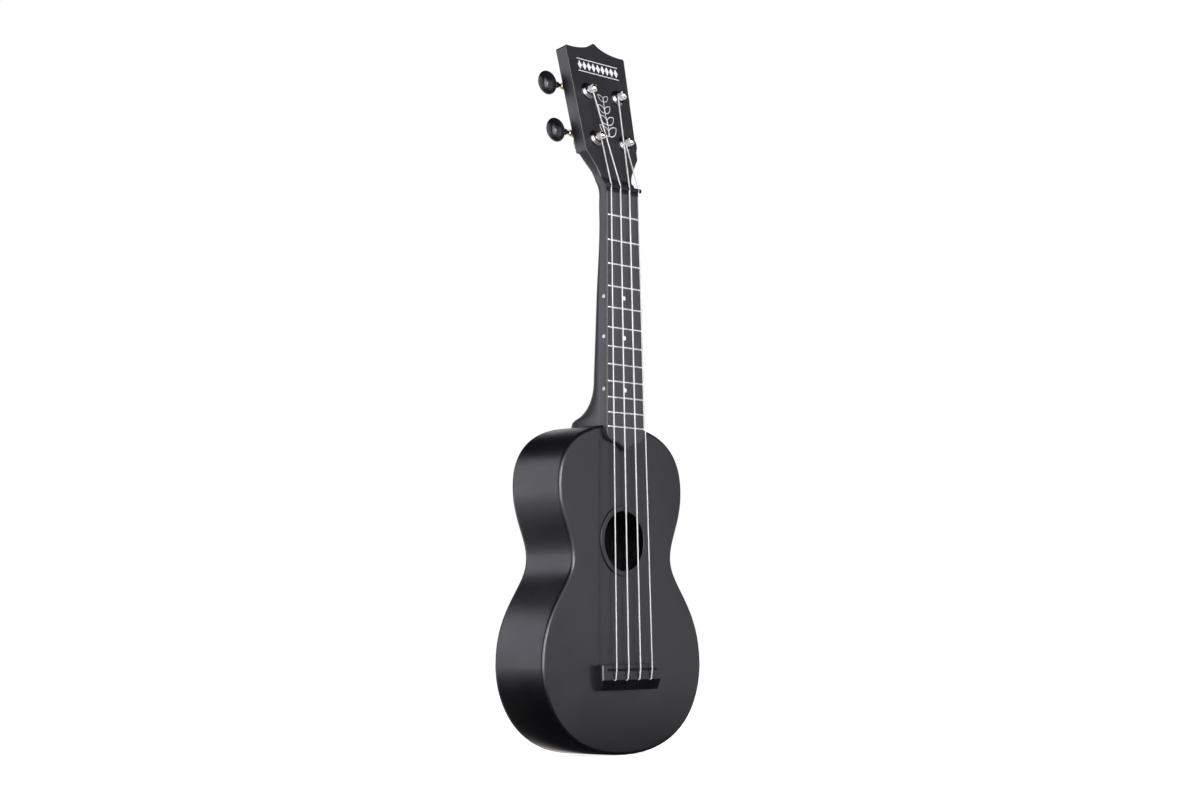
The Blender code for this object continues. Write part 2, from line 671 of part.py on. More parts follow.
# An outline in depth and height, given a width from side to side.
def across_solid(name, outline, half_width):
    turn = Matrix(((0, 0, 1, 0), (1, 0, 0, 0), (0, 1, 0, 0), (0, 0, 0, 1)))
    return flat_solid(name, outline, -half_width, half_width, turn)


def make_frets():
    for number in range(1, FRET_COUNT + 1):
        name = f"fret_{number:02d}"
        height = fret_height(number)
        mesh = across_solid(name, fret_section(), fretboard_half_width(height) - FRET_SHORT)
        smooth(mesh, 40)
        add_part(name, mesh, nickel, model, Matrix.Translation((0, 0, height)))


def string_places(spread):
    return [spread * (i / 3 - 0.5) for i in range(4)]


def make_nut():
    ledge_top = FRETBOARD_TOP - GAP
    ridge_top = FRETBOARD_TOP - NUT_RIDGE_HEIGHT
    start = NUT_Z - NUT_LEDGE
    end = NUT_Z + NUT_RIDGE
    bulge = 0.15 * NUT_RIDGE
    outline = [(-GAP, start), (ledge_top, start), (ledge_top, NUT_Z), (ridge_top + bulge, NUT_Z),
               (ridge_top, NUT_Z + bulge), (ridge_top, end - 2 * bulge),
               (ridge_top + 2 * bulge, end), (-GAP, end)]
    mesh = across_solid("nut", outline, NUT_WIDTH / 2 + NUT_OVERHANG)
    nut = add_part("nut", mesh, gloss_black, model)
    tools = []
    for x, thick in zip(string_places(STRING_SPREAD_NUT), STRING_DIAMETERS):
        half = thick / 2 + GAP
        tools.append(box("notch", (x - half, 2 * ridge_top, NUT_Z - GAP),
                         (x + half, STRING_Y_NUT + half, end + NUT_RIDGE)))
    boolean(nut, tools_object("nut_notches", tools), "DIFFERENCE")
    edge = nut.modifiers.new("Edge", "BEVEL")
    edge.width = 0.0003
    edge.segments = 1
    edge.limit_method = "ANGLE"
    edge.angle_limit = math.radians(50)


# The bridge in section at a given height above the soundboard.
def bridge_ring(across, height):
    upper = SADDLE_Z + BRIDGE_ABOVE_SADDLE
    edge = upper - BRIDGE_FLAT
    foot = edge - BRIDGE_BEVEL_LENGTH
    return [(across, -GAP, upper), (across, -height, upper), (across, -height, edge),
            (across, -height + BRIDGE_BEVEL_DROP, foot), (across, -GAP, foot)]


def bridge_foot():
    return SADDLE_Z + BRIDGE_ABOVE_SADDLE - BRIDGE_FLAT - BRIDGE_BEVEL_LENGTH


def make_bridge():
    half = BRIDGE_WIDTH / 2
    low = BRIDGE_HEIGHT - BRIDGE_CHAMFER
    rings = [bridge_ring(-half, low), bridge_ring(-half + BRIDGE_CHAMFER, BRIDGE_HEIGHT),
             bridge_ring(half - BRIDGE_CHAMFER, BRIDGE_HEIGHT), bridge_ring(half, low)]
    bridge = add_part("bridge", loft("bridge", rings), body_plastic, model)
    edge = bridge_foot() + BRIDGE_BEVEL_LENGTH
    tools = [box("saddle_slot", (-SADDLE_WIDTH / 2 - FINE_GAP, -2 * BRIDGE_HEIGHT,
                                 SADDLE_Z - SADDLE_THICKNESS / 2 - FINE_GAP),
                 (SADDLE_WIDTH / 2 + FINE_GAP, -SADDLE_SEAT + FINE_GAP,
                  SADDLE_Z + SADDLE_THICKNESS / 2 + FINE_GAP))]
    pocket = KNOT_RADIUS + GAP
    deep = -(2 * pocket + 0.0006)
    for x in string_places(STRING_SPREAD_SADDLE):
        half_slot = SLOT_WIDTH / 2
        tools.append(box("string_slot", (x - half_slot, -2 * BRIDGE_HEIGHT, bridge_foot() - pocket),
                         (x + half_slot, deep, edge + half_slot)))
        tools.append(box("knot_pocket", (x - pocket, deep - 0.0004, bridge_foot() - pocket),
                         (x + pocket, 2 * pocket, bridge_foot() + 2.8 * pocket)))
    boolean(bridge, merged_tools("bridge_tools", tools), "DIFFERENCE")


# Tools that overlap are united first, because a cutter has to be one clean closed surface.
def merged_tools(name, meshes):
    first = add_cutter(name, meshes[0], model)
    for i, mesh in enumerate(meshes[1:]):
        boolean(first, add_cutter(f"{name}_{i}", mesh, model), "UNION")
    return first


def make_saddle():
    top = -(STRING_HEIGHT_SADDLE - max(STRING_DIAMETERS) / 2 - GAP)
    half = SADDLE_THICKNESS / 2
    crown = [(top + half * 0.6 * (1 - math.sin(a)), SADDLE_Z + half * math.cos(a))
             for a in (math.pi * i / 6 for i in range(7))]
    outline = [(-SADDLE_SEAT, SADDLE_Z + half)] + crown + [(-SADDLE_SEAT, SADDLE_Z - half)]
    mesh = across_solid("saddle", outline, SADDLE_WIDTH / 2)
    smooth(mesh, 40)
    add_part("saddle", mesh, gloss_black, model)


# The string's way from its turns on the post: where it first touches them, and the turns.
def winding(post_across, post_reach, start, thick):
    mirror = 1 if post_across < 0 else -1
    centre = Vector((post_across * mirror, post_reach))
    radius = POST_WAIST_RADIUS + GAP + thick / 2
    away = centre - Vector((start.x * mirror, start.y))
    bearing = math.atan2(away.y, away.x) - math.asin(radius / away.length)
    begin = bearing - math.pi / 2
    points = []
    steps = 24 * WINDING_TURNS
    for i in range(steps + 1):
        a = begin + 2 * math.pi * i / 24
        level = WINDING_START + WINDING_PITCH * max(0, i - 2) / 24
        points.append(Vector((mirror * (centre.x + radius * math.cos(a)),
                              centre.y + radius * math.sin(a), level)))
    a = begin + 2 * math.pi * steps / 24
    tangent = Vector((-mirror * math.sin(a), math.cos(a), 0))
    points.append(points[-1] + STRING_TAIL * tangent)
    return [HEAD_FRAME @ point for point in points]


def string_path(number):
    thick = STRING_DIAMETERS[number]
    low = string_places(STRING_SPREAD_SADDLE)[number]
    high = string_places(STRING_SPREAD_NUT)[number]
    edge = bridge_foot() + BRIDGE_BEVEL_LENGTH
    knot_y = -(KNOT_RADIUS + 3 * GAP)
    knot_z = bridge_foot() + KNOT_RADIUS
    lift = BRIDGE_HEIGHT + GAP + thick / 2
    path = []
    radii = []
    slope = Vector((0, -lift - knot_y, edge - knot_z)).normalized()
    for step, size in ((-1.0, 0.5), (-0.6, 0.9), (0, 1.0), (0.6, 0.9), (1.0, 0.5)):
        path.append(Vector((low, knot_y, knot_z)) + KNOT_RADIUS * step * slope)
        radii.append(KNOT_RADIUS * size / (thick / 2))
    path.append(path[-1] + slope * thick)
    path.append(Vector((low, -lift + 0.4 * thick, edge - thick)))
    path.append(Vector((low, -lift - 0.1 * thick, edge + 0.4 * thick)))
    path.append(Vector((low, -STRING_HEIGHT_SADDLE + 0.0001, SADDLE_Z - SADDLE_THICKNESS / 2)))
    path.append(Vector((low, -STRING_HEIGHT_SADDLE, SADDLE_Z)))
    path.append(Vector((high, STRING_Y_NUT, NUT_Z)))
    path.append(Vector((high, STRING_Y_NUT - 0.0001, NUT_Z + 0.5 * NUT_RIDGE)))
    over = HEAD_FRAME.inverted() @ Vector((high, STRING_Y_NUT + 0.0001, NUT_Z + NUT_RIDGE))
    path.append(HEAD_FRAME @ over)
    _, across, reach = POST_PLACES[number]
    path += winding(across, reach, over, thick)
    radii += [1.0] * (len(path) - len(radii))
    return path, radii


# Least distance between stretches of one string that lie more than half a turn apart.
def least_own_gap(path, thick):
    least = 1.0
    for i, here in enumerate(path):
        for there in path[i + 12:]:
            least = min(least, (here - there).length - thick)
    return least


def make_strings():
    for number in range(4):
        name = f"string_{number + 1}"
        path, radii = string_path(number)
        curve = bpy.data.curves.new(name, "CURVE")
        curve.dimensions = "3D"
        curve.bevel_depth = STRING_DIAMETERS[number] / 2
        curve.bevel_resolution = 1
        curve.use_fill_caps = True
        spline = curve.splines.new("POLY")
        spline.points.add(len(path) - 1)
        for point, place, radius in zip(spline.points, path, radii):
            point.co = (*place, 1)
            point.radius = radius
        string = bpy.data.objects.new(name, curve)
        parts.objects.link(string)
        string.parent = model
        curve.materials.append(nylon(name))
        gap = least_own_gap(path[8:], STRING_DIAMETERS[number])
        length = sum((b - a).length for a, b in zip(path, path[1:]))
        print(f"{name}: length {length:.4f} m, least gap to itself {gap * 1000:.2f} mm")


def make_bushing(number, frame):
    bore = POST_RADIUS + GAP
    base = GAP
    profile = [(bore, BUSHING_HEIGHT), (BUSHING_TOP_RADIUS - 0.0003, BUSHING_HEIGHT),
               (BUSHING_TOP_RADIUS + 0.0002, BUSHING_HEIGHT - 0.0004),
               (0.6 * BUSHING_TOP_RADIUS + 0.4 * BUSHING_RADIUS, 1.4 * BUSHING_RIM),
               (BUSHING_RADIUS, BUSHING_RIM), (BUSHING_RADIUS, base), (SLEEVE_RADIUS, base),
               (SLEEVE_RADIUS, -SLEEVE_LENGTH), (bore, -SLEEVE_LENGTH)]
    mesh = turned(f"bushing_{number}", profile, 16, closed=True)
    smooth(mesh)
    add_part(f"bushing_{number}", mesh, nickel, frame)


def make_post(number, frame):
    end = GEAR_FRONT - GEAR_THICKNESS - FINE_GAP + GAP
    shoulder = GEAR_FRONT + FINE_GAP
    groove_low = WINDING_START - 0.0006
    groove_high = WINDING_START + WINDING_TURNS * WINDING_PITCH + 0.0006
    profile = [(0, POST_TIP), (0.55 * POST_RADIUS, POST_TIP - 0.0002),
               (0.9 * POST_RADIUS, POST_TIP - 0.0008), (POST_RADIUS, POST_TIP - 0.0016),
               (POST_WAIST_RADIUS, groove_high - 0.0005), (POST_WAIST_RADIUS, groove_low + 0.0003),
               (POST_RADIUS, groove_low - 0.0001), (POST_RADIUS, shoulder), (0, shoulder)]
    mesh = turned(f"post_{number}", profile, 16)
    smooth(mesh)
    post = add_part(f"post_{number}", mesh, nickel, frame)
    half = SQUARE_END / 2
    square = box(f"square_end_{number}", (-half, -half, end), (half, half, shoulder + SQUARE_END))
    boolean(post, add_cutter(f"square_end_{number}", square, frame), "UNION")
    turn = Matrix.Translation((0, 0, groove_high - 0.0003)) @ Matrix.Rotation(math.pi / 2, 4, "Y")
    tools = [cylinder("string_hole", STRING_DIAMETERS[1], -2 * POST_RADIUS, 2 * POST_RADIUS, turn, 8),
             cylinder("screw_hole", 0.0009 + GAP, end - 0.001, end + 0.0055, None, 8)]
    boolean(post, add_cutter(f"post_holes_{number}", joined("post_holes", tools), frame), "DIFFERENCE")


# The wheel's outline at a level above its middle: the teeth lean with the worm's thread.
def gear_outline(level):
    root = GEAR_PITCH_RADIUS - TOOTH_BELOW_PITCH
    tip = GEAR_PITCH_RADIUS + TOOTH_ABOVE_PITCH
    worm_pitch_radius = WORM_DISTANCE - GEAR_PITCH_RADIUS
    lean = WORM_PITCH * level / (2 * math.pi * worm_pitch_radius * GEAR_PITCH_RADIUS)
    points = []
    for tooth in range(GEAR_TEETH):
        middle = math.pi / 2 + 2 * math.pi * tooth / GEAR_TEETH + lean
        at_root = TOOTH_HALF_WIDTHS[0] / root
        at_tip = TOOTH_HALF_WIDTHS[1] / tip
        for radius, angle in ((root, middle - at_root), (tip, middle - at_tip),
                              (tip, middle + at_tip), (root, middle + at_root)):
            points.append((radius * math.cos(angle), radius * math.sin(angle), WORM_LEVEL + level))
    return points


def make_gear(number, frame):
    half = GEAR_THICKNESS / 2
    mesh = loft(f"gear_{number}", [gear_outline(-half), gear_outline(half)])
    gear = add_part(f"gear_{number}", mesh, nickel, frame)
    side = SQUARE_END / 2 + FINE_GAP
    hole = box(f"gear_hole_{number}", (-side, -side, WORM_LEVEL - GEAR_THICKNESS),
               (side, side, WORM_LEVEL + GEAR_THICKNESS))
    boolean(gear, add_cutter(f"gear_hole_{number}", hole, frame), "DIFFERENCE")


def make_gear_screw(number, frame):
    seat = GEAR_FRONT - GEAR_THICKNESS - GAP
    mesh = turned(f"gear_screw_{number}", [(0, seat + 0.0045), (0.0009, seat + 0.0040), (0.0009, seat),
                                           (0.0026, seat), (0.0026, seat - 0.0007),
                                           (0.0018, seat - 0.0013), (0, seat - 0.0014)], 12)
    smooth(mesh)
    add_part(f"gear_screw_{number}", mesh, nickel, frame)


# The thread as a ridge that climbs one pitch a turn and sinks into the shaft at both ends.
def worm_thread():
    steps = 12
    core = WORM_CORE_RADIUS - 0.0002
    rings = []
    count = steps * WORM_TURNS
    for i in range(count + 1):
        turn = 2 * math.pi * (i - count / 2) / steps
        along = WORM_PITCH * turn / (2 * math.pi)
        grown = min(1, (0.2 + min(i, count - i)) / 3)
        crest = core + (WORM_RADIUS - core) * grown
        root_half = WORM_HALF_WIDTHS[0] * (0.5 + 0.5 * grown)
        crest_half = WORM_HALF_WIDTHS[1] * (0.5 + 0.5 * grown)
        ring = [(along + x, r * math.cos(turn), r * math.sin(turn))
                for x, r in ((-root_half, core), (-crest_half, crest), (crest_half, crest),
                             (root_half, core))]
        rings.append(ring)
    return loft("thread", rings)


def make_worm_shaft(number, frame, side):
    inner = EAR_GAP / 2 + EAR_THICKNESS + 0.0008
    outer = BUTTON_FROM_POST - BUTTON_LENGTH / 2 - BUTTON_NECK + SHAFT_IN_BUTTON
    collar = EAR_GAP / 2 + EAR_THICKNESS + GAP
    core = EAR_GAP / 2 - GAP
    lay = Matrix.Rotation(side * math.pi / 2, 4, "Y")
    profile = [(0, outer), (SHAFT_RADIUS, outer - 0.0003), (SHAFT_RADIUS, collar + COLLAR_LENGTH),
               (COLLAR_RADIUS, collar + 0.9 * COLLAR_LENGTH), (COLLAR_RADIUS, collar),
               (SHAFT_RADIUS, collar), (SHAFT_RADIUS, core), (WORM_CORE_RADIUS, core),
               (WORM_CORE_RADIUS, -core), (SHAFT_RADIUS, -core), (SHAFT_RADIUS, -inner + 0.0003),
               (0, -inner)]
    mesh = turned(f"worm_shaft_{number}", profile, 14, matrix=lay)
    smooth(mesh)
    shaft = add_part(f"worm_shaft_{number}", mesh, nickel, frame)
    boolean(shaft, add_cutter(f"thread_{number}", worm_thread(), frame), "UNION")


def make_button(number, frame, side):
    middle = BUTTON_FROM_POST
    start = middle - BUTTON_LENGTH / 2 - BUTTON_NECK
    stations = [(start, BUTTON_NECK_RADIUS, BUTTON_NECK_RADIUS)]
    throat = middle - BUTTON_LENGTH / 2 + 0.0004
    stations.append((throat, 1.05 * BUTTON_NECK_RADIUS, 1.05 * BUTTON_NECK_RADIUS))
    for angle in (-58, -36, -12, 12, 36, 58, 76):
        a = math.radians(angle)
        stations.append((middle + BUTTON_LENGTH / 2 * math.sin(a),
                         BUTTON_TALL / 2 * math.cos(a) ** 0.8, BUTTON_THICK / 2 * math.cos(a) ** 0.7))
    rings = []
    for place, tall, thick in stations:
        rings.append([(side * place, tall * math.cos(b), thick * math.sin(b))
                      for b in (2 * math.pi * i / 16 for i in range(16))])
    rings.append([(side * (middle + BUTTON_LENGTH / 2), 0, 0)])
    mesh = loft(f"button_{number}", rings)
    smooth(mesh)
    button = add_part(f"button_{number}", mesh, gloss_black, frame)
    lay = Matrix.Rotation(side * math.pi / 2, 4, "Y")
    drill = cylinder(f"shaft_hole_{number}", SHAFT_RADIUS + FINE_GAP, start - 0.001,
                     start + SHAFT_IN_BUTTON + GAP, lay, 12)
    boolean(button, add_cutter(f"shaft_hole_{number}", drill, frame), "DIFFERENCE")


def rounded_rectangle(low, high, corner):
    points = []
    for x, y, start in ((high[0] - corner, high[1] - corner, 0), (low[0] + corner, high[1] - corner, 90),
                        (low[0] + corner, low[1] + corner, 180), (high[0] - corner, low[1] + corner, 270)):
        for angle in (0, 45, 90):
            a = math.radians(start + angle)
            points.append((x + corner * math.cos(a), y + corner * math.sin(a)))
    return points


def make_plate(number, frame):
    half = PLATE_WIDTH / 2
    outline = rounded_rectangle((-half, -PLATE_BELOW_POST), (half, PLATE_ABOVE_POST), 0.35 * PLATE_WIDTH)
    front = PLATE_BACK + PLATE_THICKNESS
    mesh = flat_solid(f"plate_{number}", outline, PLATE_BACK, front)
    plate = add_part(f"plate_{number}", mesh, nickel, frame)
    top = WORM_LEVEL - EAR_WIDTH / 2
    ears = []
    for side in (-1, 1):
        inside = EAR_GAP / 2 if side > 0 else -EAR_GAP / 2 - EAR_THICKNESS
        outline = [(WORM_DISTANCE - EAR_BASE_WIDTH / 2, front - 0.5 * PLATE_THICKNESS)]
        outline += [(WORM_DISTANCE - EAR_WIDTH / 2 * math.cos(a), WORM_LEVEL - EAR_WIDTH / 2 * math.sin(a))
                    for a in (math.pi * i / 6 for i in range(7))]
        outline += [(WORM_DISTANCE + EAR_BASE_WIDTH / 2, front - 0.5 * PLATE_THICKNESS)]
        turn = Matrix(((0, 0, 1, 0), (1, 0, 0, 0), (0, 1, 0, 0), (0, 0, 0, 1)))
        ears.append(flat_solid("ear", outline, inside, inside + EAR_THICKNESS, turn))
    boolean(plate, add_cutter(f"ears_{number}", joined("ears", ears), frame), "UNION")
    lay = Matrix.Translation((0, WORM_DISTANCE, WORM_LEVEL)) @ Matrix.Rotation(math.pi / 2, 4, "Y")
    tools = [cylinder("shaft_way", SHAFT_RADIUS + GAP, -PLATE_WIDTH, PLATE_WIDTH, lay, 12),
             cylinder("post_hole", POST_RADIUS + GAP, top, front + PLATE_THICKNESS, None, 16)]
    for up in plate_screw_places():
        tools.append(cylinder("screw_hole", PLATE_SCREW_RADIUS + GAP, PLATE_BACK - PLATE_THICKNESS,
                              front + PLATE_THICKNESS, Matrix.Translation((0, up, 0)), 8))
    boolean(plate, add_cutter(f"plate_holes_{number}", joined("plate_holes", tools), frame), "DIFFERENCE")


def make_plate_screws(number, frame):
    seat = PLATE_BACK - GAP
    for name, up in zip(("lower", "upper"), plate_screw_places()):
        tip = seat + PLATE_SCREW_LENGTH
        mesh = turned(f"plate_screw_{number}_{name}",
                      [(0, tip), (PLATE_SCREW_RADIUS, tip - 0.0015), (PLATE_SCREW_RADIUS, seat),
                       (0.0022, seat), (0.0019, seat - 0.0008), (0, seat - 0.0012)], 8)
        smooth(mesh)
        add_part(f"plate_screw_{number}_{name}", mesh, nickel, frame, Matrix.Translation((0, up, 0)))


def make_tuners():
    for number, across, reach in POST_PLACES:
        side = math.copysign(1, across)
        frame = add_empty(f"tuner_{number}", model, HEAD_FRAME @ Matrix.Translation((across, reach, 0)))
        axle = add_empty(f"axle_{number}", frame, Matrix.Translation((0, WORM_DISTANCE, WORM_LEVEL)))
        make_bushing(number, frame)
        make_post(number, frame)
        make_gear(number, frame)
        make_gear_screw(number, frame)
        make_worm_shaft(number, axle, side)
        make_button(number, axle, side)
        make_plate(number, frame)
        make_plate_screws(number, frame)


clear_scene()
parts = add_collection("soprano_ukulele")
cutters = add_collection("cutters")
model = add_empty("body_frame", None, Matrix.Translation(-HANGER))
make_soundboard()
make_back_shell()
make_neck()
make_neck_bolt()
make_fretboard()
make_frets()
make_nut()
make_bridge()
make_saddle()
make_strings()
make_tuners()
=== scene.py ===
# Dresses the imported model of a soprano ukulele: finer skins for its parts, procedural
# finishes, a pale floor and soft studio light. Lengths are in metres.
import json
import math

import bmesh
import bpy
from mathutils import Matrix, Vector


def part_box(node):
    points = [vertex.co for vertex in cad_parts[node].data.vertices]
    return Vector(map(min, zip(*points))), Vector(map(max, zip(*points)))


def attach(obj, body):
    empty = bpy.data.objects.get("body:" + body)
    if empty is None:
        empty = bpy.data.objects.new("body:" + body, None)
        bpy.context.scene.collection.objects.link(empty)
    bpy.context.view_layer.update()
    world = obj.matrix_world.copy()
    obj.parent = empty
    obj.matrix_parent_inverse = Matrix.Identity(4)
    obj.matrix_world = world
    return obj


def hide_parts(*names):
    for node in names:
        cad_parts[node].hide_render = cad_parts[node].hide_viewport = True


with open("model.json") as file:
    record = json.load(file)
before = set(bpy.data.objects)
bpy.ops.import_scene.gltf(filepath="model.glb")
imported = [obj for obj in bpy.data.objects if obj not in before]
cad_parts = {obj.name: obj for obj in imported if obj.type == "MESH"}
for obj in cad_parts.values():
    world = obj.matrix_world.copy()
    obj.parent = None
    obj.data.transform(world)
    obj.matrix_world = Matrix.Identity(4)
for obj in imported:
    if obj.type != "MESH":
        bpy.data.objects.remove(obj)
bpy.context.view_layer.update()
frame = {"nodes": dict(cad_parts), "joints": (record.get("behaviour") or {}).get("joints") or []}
scene = bpy.context.scene
joints = {joint["name"]: joint for joint in frame["joints"]}

# Sizes that more than one piece uses. The body's zero is the tail end of the centre line,
# on the front face of the soundboard.
whole = {
    "scaleLength": 0.346, "nutHeight": 0.4064, "ringHeight": 0.0009,
    "headTilt": math.radians(11.1), "headDrop": 0.0003, "headThickness": 0.0101,
    "stringSpreadNut": 0.0303, "stringSpreadSaddle": 0.0389, "stringAboveSoundboard": 0.0088,
    "stringDiameters": (0.0009, 0.00105, 0.00105, 0.0009),
    "boardTop": -0.0037, "boardUnderside": -0.00002, "through": 0.01, "weld": 0.0000015,
}
nutHeight, boardTop, through = whole["nutHeight"], whole["boardTop"], whole["through"]
jointHeight = nutHeight - whole["scaleLength"] / 2
saddleHeight = nutHeight - whole["scaleLength"]


def shift(x=0.0, y=0.0, z=0.0):
    return Matrix.Translation((x, y, z))


def turn(degrees, axis):
    return Matrix.Rotation(math.radians(degrees), 4, axis)


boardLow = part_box("soundboard")[0]
bodyZero = Vector((0, boardLow.y + whole["ringHeight"], boardLow.z))
bodyFrame = Matrix.Translation(bodyZero)
headFrame = (bodyFrame @ shift(0, whole["headDrop"], nutHeight)
             @ Matrix.Rotation(math.pi / 2 - whole["headTilt"], 4, "X"))
headInBody = bodyFrame.inverted() @ headFrame
postPlaces = {n: headFrame.inverted() @ Vector(joints[f"peg_turn_{n}"]["pos_m"]) for n in "1234"}
facing = turn(90, "X")      # turns +Z to -Y, for what stands on the front
sideways = Matrix(((0, 0, 1, 0), (1, 0, 0, 0), (0, 1, 0, 0), (0, 0, 0, 1)))


def mathsNode(operation, swapped=False):
    def method(wire, other):
        pair = (other, wire) if swapped else (wire, other)
        return wire.graph.node("ShaderNodeMath", dict(enumerate(pair)), operation=operation)
    return method


# One output socket, so that maths on it reads as an expression.
class Wire:
    def __init__(self, graph, socket):
        self.graph = graph
        self.socket = socket

    __add__, __radd__ = mathsNode("ADD"), mathsNode("ADD", True)
    __sub__, __rsub__ = mathsNode("SUBTRACT"), mathsNode("SUBTRACT", True)
    __mul__, __rmul__ = mathsNode("MULTIPLY"), mathsNode("MULTIPLY", True)
    __truediv__, __rtruediv__ = mathsNode("DIVIDE"), mathsNode("DIVIDE", True)
    __pow__, __rpow__ = mathsNode("POWER"), mathsNode("POWER", True)
    over = mathsNode("GREATER_THAN")


# A node tree under construction. One method makes every node.
class Graph:
    def __init__(self, tree):
        self.nodes, self.links = tree.nodes, tree.links

    def feed(self, socket, value):
        if isinstance(value, Wire):
            self.links.new(value.socket, socket)
        else:
            socket.default_value = value

    def node(self, kind, values=None, output=0, **settings):
        made = self.nodes.new(kind)
        for key, value in settings.items():
            setattr(made, key, value)
        for key, value in (values or {}).items():
            self.feed(made.inputs[key], value)
        return Wire(self, made.outputs[output])


# The node tree of a material or of the world.
class Finish(Graph):
    def __init__(self, owner):
        owner.use_nodes = True
        self.owner = owner
        super().__init__(owner.node_tree)

    def noise(self, scale, detail=2.0, stretch=(1, 1, 1), distortion=0.0):
        place = self.node("ShaderNodeTexCoord", output="Object")
        place = self.node("ShaderNodeMapping", {"Vector": place, "Scale": stretch})
        return self.node("ShaderNodeTexNoise", {
            "Vector": place, "Scale": scale, "Detail": detail, "Distortion": distortion})

    def vector(self, operation, *values):
        output = "Value" if operation in ("DOT_PRODUCT", "LENGTH") else "Vector"
        return self.node("ShaderNodeVectorMath", dict(enumerate(values)), output,
                         operation=operation)

    def mix(self, share, low, high):
        low, high = (c if isinstance(c, Wire) else (*c, 1) for c in (low, high))
        return self.node("ShaderNodeMix", {0: share, 6: low, 7: high}, 2, data_type="RGBA")

    def range(self, value, low, high, start=0.35, end=0.65):
        return self.node("ShaderNodeMapRange", {
            "Value": value, "From Min": start, "From Max": end, "To Min": low, "To Max": high})

    def smooth(self, value, edge):
        return self.node("ShaderNodeMapRange", {
            "Value": value, "From Min": edge[0], "From Max": edge[1]},
            interpolation_type="SMOOTHSTEP")

    def surface(self, values):
        for name, value in values.items():
            self.feed(self.nodes["Principled BSDF"].inputs[name], value)

    # Ends a material with a fine relief, and returns it.
    def bumped(self, height, depth):
        normal = self.node("ShaderNodeBump", {"Distance": depth, "Height": height})
        self.surface({"Normal": normal})
        return self.owner


def newFinish(name):
    return Finish(bpy.data.materials.new(name))


def scaled(colour, share):
    return tuple(share * c for c in colour)


# Satin moulded plastic: a spark-eroded grain, handled patches, and faint clouds or streaks.
def mouldedPlastic(name, tone, roughness, streak=0.0, specular=0.5):
    finish = newFinish(name)
    swing = streak or 0.07
    if streak:
        share = finish.range(finish.noise(1, 3, (950, 950, 9)), 0, 1, 0.3, 0.7)
    else:
        share = finish.range(finish.noise(14, 3, distortion=0.6), 0, 1)
    handled = finish.range(finish.noise(38, 4), -0.035, 0.035)
    inner = finish.node("ShaderNodeAttribute", output="Fac", attribute_name="inner")
    finish.surface({
        "Base Color": finish.mix(share, scaled(tone, 1 - swing), scaled(tone, 1 + swing)),
        "Roughness": handled + roughness + 0.6 * inner, "Specular IOR Level": specular})
    return finish.bumped(finish.noise(2400, 2), 0.000012)


def glossPlastic(name, tone, roughness, coat=0.25, specular=0.5):
    finish = newFinish(name)
    cloud = finish.range(finish.noise(120, 3), 0, 1)
    smear = finish.range(finish.noise(260, 5, (1, 1, 0.3)), 0, 0.10)
    finish.surface({
        "Base Color": finish.mix(cloud, tone, scaled(tone, 1.3)), "Roughness": smear + roughness,
        "Coat Weight": coat, "Coat Roughness": 0.06, "Specular IOR Level": specular})
    return finish.bumped(finish.noise(330, 2), 0.000010)


def platedMetal(name, tone, roughness, stretch=(1, 1, 1), tarnish=0.12):
    finish = newFinish(name)
    spots = finish.range(finish.noise(420, 4), 0, 1)
    lines = finish.noise(3000, 3, stretch)
    dull = [(1 - tarnish) * c * warmth for c, warmth in zip(tone, (1, 0.96, 0.88))]
    finish.surface({"Base Color": finish.mix(spots, dull, tone), "Metallic": 1.0,
                    "Roughness": finish.range(lines, -0.05, 0.09) + roughness})
    return finish.bumped(lines, 0.000004)


def whiteNylon(name):
    finish = newFinish(name)
    cloud = finish.range(finish.noise(500, 2), 0, 1)
    finish.surface({"Base Color": finish.mix(cloud, (0.80, 0.79, 0.77), (0.88, 0.87, 0.86)),
                    "Roughness": finish.range(finish.noise(900, 3), 0.26, 0.38)})
    return finish.bumped(finish.noise(2500, 1), 0.000006)


def printedInk(name):
    finish = newFinish(name)
    speck = finish.range(finish.noise(1500, 3), 0, 1, 0.3, 0.45)
    finish.surface({"Base Color": finish.mix(speck, (0.62, 0.62, 0.62), (0.80, 0.80, 0.79)),
                    "Roughness": 0.5 + 0.1 * finish.noise(800)})
    return finish.owner


# Each finish is a material slot of the record and a material.
finishes = {
    "body": ("moulded_black", mouldedPlastic("bodyPlastic", (0.0034, 0.0034, 0.0041), 0.34)),
    "neck": ("moulded_black", mouldedPlastic(
        "neckPlastic", (0.0040, 0.0040, 0.0048), 0.44, specular=0.62)),
    "board": ("moulded_black", mouldedPlastic(
        "fretboardPlastic", (0.036, 0.035, 0.036), 0.46, 0.16, 0.44)),
    "gloss": ("gloss_black", glossPlastic("glossPlastic", (0.005, 0.005, 0.006), 0.30, 0.0, 0.22)),
    "button": ("gloss_black", glossPlastic(
        "buttonPlastic", (0.0065, 0.0068, 0.0085), 0.21, 0.0, 0.28)),
    "nickel": ("tuner_nickel", platedMetal("nickelPlate", (0.56, 0.53, 0.48), 0.20)),
    "chrome": ("bushing_chrome", platedMetal(
        "bushingChrome", (0.15, 0.147, 0.15), 0.16, tarnish=0.06)),
    "fret": ("fret_metal", platedMetal("fretMetal", (0.92, 0.92, 0.91), 0.25, (0.02, 1, 1), 0.04)),
    "brass": ("shaft_brass", platedMetal("shaftMetal", (0.58, 0.52, 0.42), 0.24, tarnish=0.25)),
    "screw": ("screw_steel", platedMetal("screwSteel", (0.60, 0.59, 0.57), 0.26)),
    "nylon": ("string_nylon", whiteNylon("stringNylon")),
    "inlay": ("string_nylon", glossPlastic("inlayWhite", (0.72, 0.72, 0.70), 0.3)),
    "ink": ("string_nylon", printedInk("headstockInk")),
}
print("finishes ready:", len(finishes))


